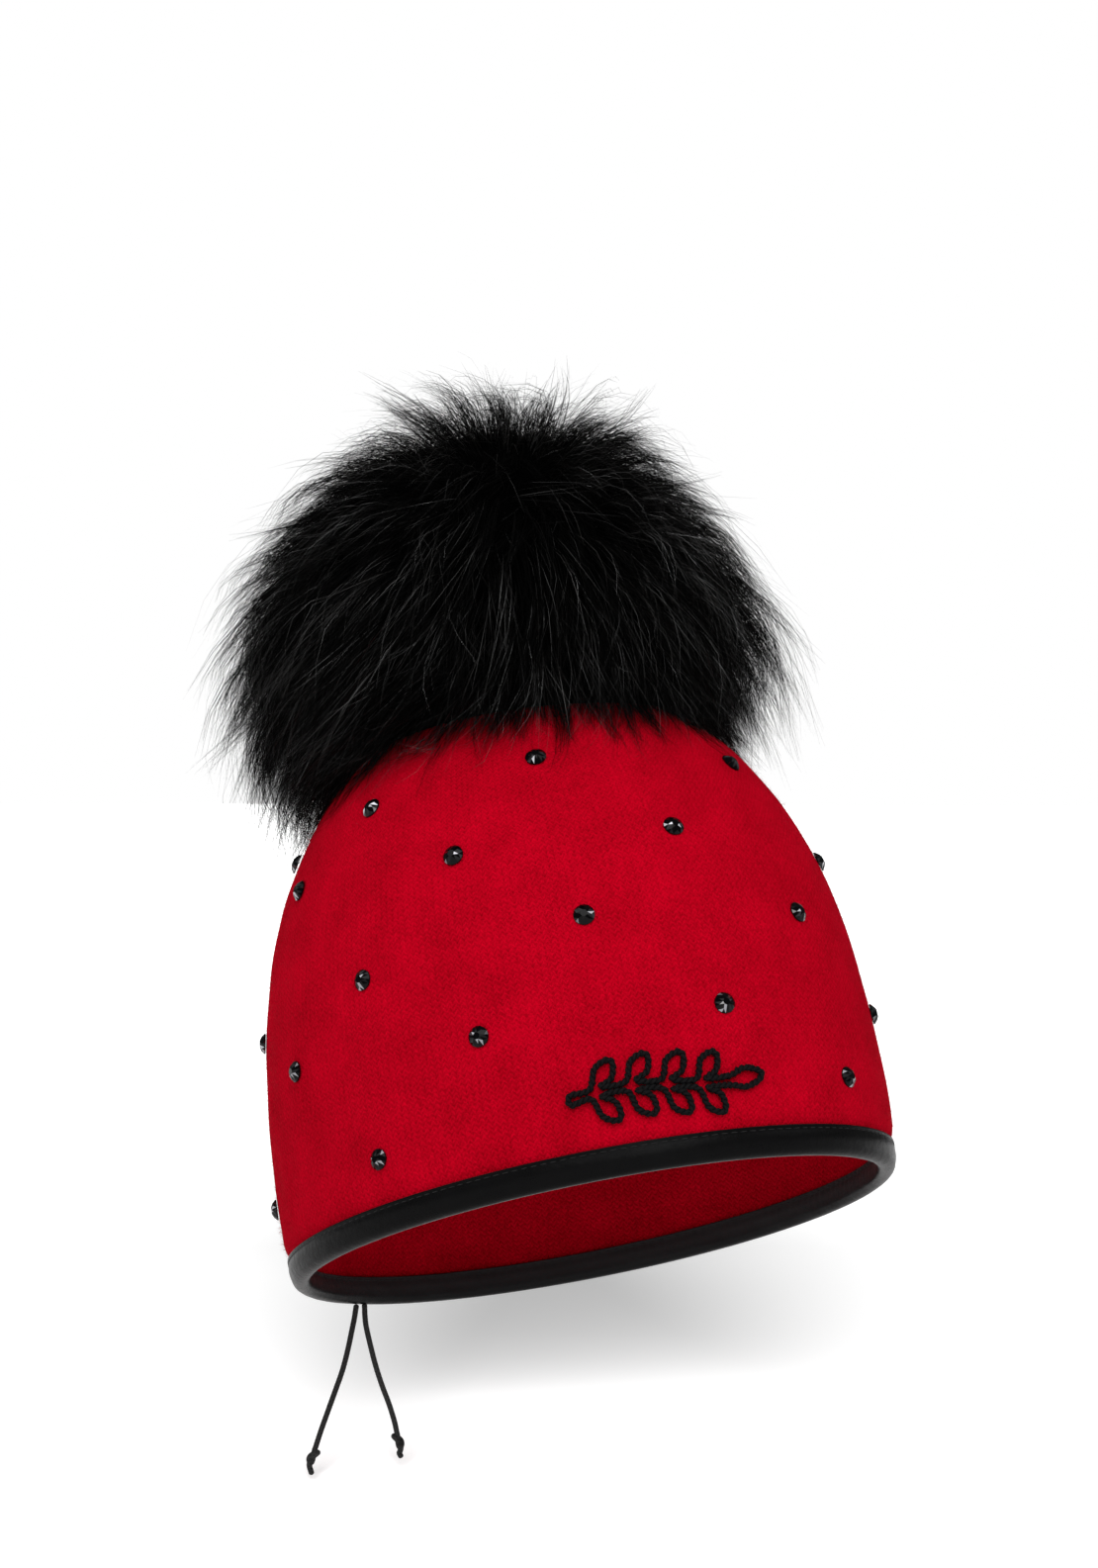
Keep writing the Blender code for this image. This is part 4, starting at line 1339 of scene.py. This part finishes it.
class BuildStudio(bpy.types.Operator):
    """Set the floor, the soft lights, the white surroundings and the camera"""
    bl_idname = "hat.build_studio"
    bl_label = "Studio"

    def execute(self, context):
        sizes = context.scene.hat_studio
        scene = context.scene
        scene.view_settings.view_transform = "Standard"
        self.place_camera(scene)
        floor = self.lay_floor(sizes)
        self.hang_lights(sizes, floor)
        self.light_surroundings(scene, sizes)
        return {"FINISHED"}

    def place_camera(self, scene):
        """Camera with the photo's view."""
        right, back = view_axes()
        lens = bpy.data.cameras.new("photo_camera")
        lens.lens = VIEW_LENS
        lens.sensor_width = 36.0
        lens.clip_start = 0.05
        camera = link("photo_camera", lens)
        camera.location = right * VIEW_RIGHT + Vector((0, 0, VIEW_UP)) + back * VIEW_DISTANCE
        camera.rotation_euler = back.to_track_quat("Z", "Y").to_euler()
        scene.camera = camera

    def lay_floor(self, sizes):
        """White floor with painted light: it glows dimly within about a metre of the hat and full white a
        couple of metres out, a little brighter than the light that falls on it.
        """
        graph, place, feed = finish_material("studio_floor", {
            "Base Color": (0.80, 0.80, 0.80), "Roughness": 1.0, "Specular IOR Level": 0.0,
            "Emission Strength": 1.0,
        })
        # Painted light: the floor's glow is dim near the hat and rises to full white farther out.
        far = ((place.vector("LENGTH", output="Value") - 0.9) * 0.8).clamped()
        low = CAD_BOX[0][2] - sizes.floor_gap
        mesh = bpy.data.meshes.new("studio_floor")
        corners = [(x * FLOOR_REACH, y * FLOOR_REACH, low) for x, y in ((-1, -1), (1, -1), (1, 1), (-1, 1))]
        mesh.from_pydata(corners, [], [(0, 1, 2, 3)])
        mesh.materials.append(feed(Emission_Color=graph.mix_colour(far, (0.36, 0.36, 0.36), (1.0, 1.0, 1.0))))
        floor = link("studio_floor", mesh)
        return floor

    def hang_lights(self, sizes, floor):
        """Soft lights for the hat, and a low front one for the floor alone, which gives the shadow."""
        floor_alone, hat_alone = (bpy.data.collections.new(name) for name in ("floor_alone", "hat_alone"))
        floor_alone.objects.link(floor)
        hat_alone.objects.link(floor)
        hat_alone.collection_objects[0].light_linking.link_state = "EXCLUDE"
        sun = bpy.data.lights.new("floor_light", "SUN")
        sun.energy = sizes.floor_light
        sun.angle = SHADOW_SOFTNESS
        self.hang("floor_light", sun, self.way(0.0, SHADOW_RISE), 0.0, floor_alone)
        # name, bearing from the camera, height angle, distance, width, height, power share
        lights = (
            ("key_light", -6, 54, 1.9, 1.6, 1.2, 0.78),
            ("high_glint_light", 14, 38, 1.7, 0.22, 0.22, 0.15),
            ("low_glint_light", -22, 24, 1.7, 0.18, 0.18, 0.10),
            ("low_front_light", 10, 26, 2.2, 1.2, 0.6, 0.20),
            ("rim_glint_light", 4, 16, 1.8, 0.45, 0.06, 0.16),
            ("left_side_light", -82, 40, 1.8, 1.2, 1.0, 0.26),
            ("right_side_light", 80, 40, 1.8, 1.2, 1.0, 0.26),
        )
        for name, bearing, rise, distance, width, height, share in lights:
            data = bpy.data.lights.new(name, "AREA")
            data.shape = "RECTANGLE"
            data.size, data.size_y = width, height
            data.energy = sizes.key * share
            self.hang(name, data, self.way(bearing, rise), distance, hat_alone)

    def hang(self, name, data, way, distance, receivers):
        """Puts one light at a distance from the hat's middle, turned to it, for some receivers alone."""
        lamp = link(name, data)
        lamp.location = LIGHT_FOCUS + way * distance
        lamp.rotation_euler = way.to_track_quat("Z", "Y").to_euler()
        lamp.light_linking.receiver_collection = receivers

    def way(self, bearing, rise):
        """Direction to a light at a bearing from the camera and a height angle, in degrees."""
        turn, up = VIEW_AZIMUTH + math.radians(bearing), math.radians(rise)
        return Vector((math.sin(turn) * math.cos(up), -math.cos(turn) * math.cos(up), math.sin(up)))

    def light_surroundings(self, scene, sizes):
        """White behind the hat, and a dimmer sky for light and reflections."""
        world = bpy.data.worlds.new("studio_world")
        scene.world = world
        world.use_nodes = True
        graph = Graph(world.node_tree)
        seen = graph.node("ShaderNodeLightPath")["Is Camera Ray"]
        strength = graph.mix(seen, sizes.sky, 1.0)
        ground = world.node_tree.nodes["Background"]
        ground.inputs["Color"].default_value = (1.0, 1.0, 1.0, 1.0)
        world.node_tree.links.new(strength.socket, ground.inputs["Strength"])


class HatPanel(bpy.types.Panel):
    """Lists the steps that build the hat"""
    bl_idname = "VIEW3D_PT_bobble_hat"
    bl_label = "Bobble Hat"
    bl_space_type = "VIEW_3D"
    bl_region_type = "UI"
    bl_category = "Bobble Hat"

    def draw(self, context):
        for step in STEPS:
            self.layout.operator(step.bl_idname)


SIZES = (
    ("hat_crown", CrownSizes),
    ("hat_binding", BindingSizes),
    ("hat_crystals", CrystalSizes),
    ("hat_sprig", SprigSizes),
    ("hat_drawcord", DrawcordSizes),
    ("hat_fur", FurSizes),
    ("hat_studio", StudioSizes),
)
STEPS = (BuildStudio, BuildDrawcord, BuildCrown, BuildBinding, BuildCrystals, BuildSprig, BuildPompom)


def register():
    for key, sizes in SIZES:
        bpy.utils.register_class(sizes)
        setattr(bpy.types.Scene, key, bpy.props.PointerProperty(type=sizes))
    for step in (*STEPS, HatPanel):
        bpy.utils.register_class(step)


def unregister():
    for step in reversed((*STEPS, HatPanel)):
        bpy.utils.unregister_class(step)
    for key, sizes in reversed(SIZES):
        delattr(bpy.types.Scene, key)
        bpy.utils.unregister_class(sizes)


def main():
    register()
    bpy.ops.hat.build_studio()
    bpy.ops.hat.build_drawcord()
    bpy.ops.hat.build_crown()
    bpy.ops.hat.build_binding()
    bpy.ops.hat.build_crystals()
    bpy.ops.hat.build_sprig()
    bpy.ops.hat.build_pompom()


if __name__ == "__main__":
    main()
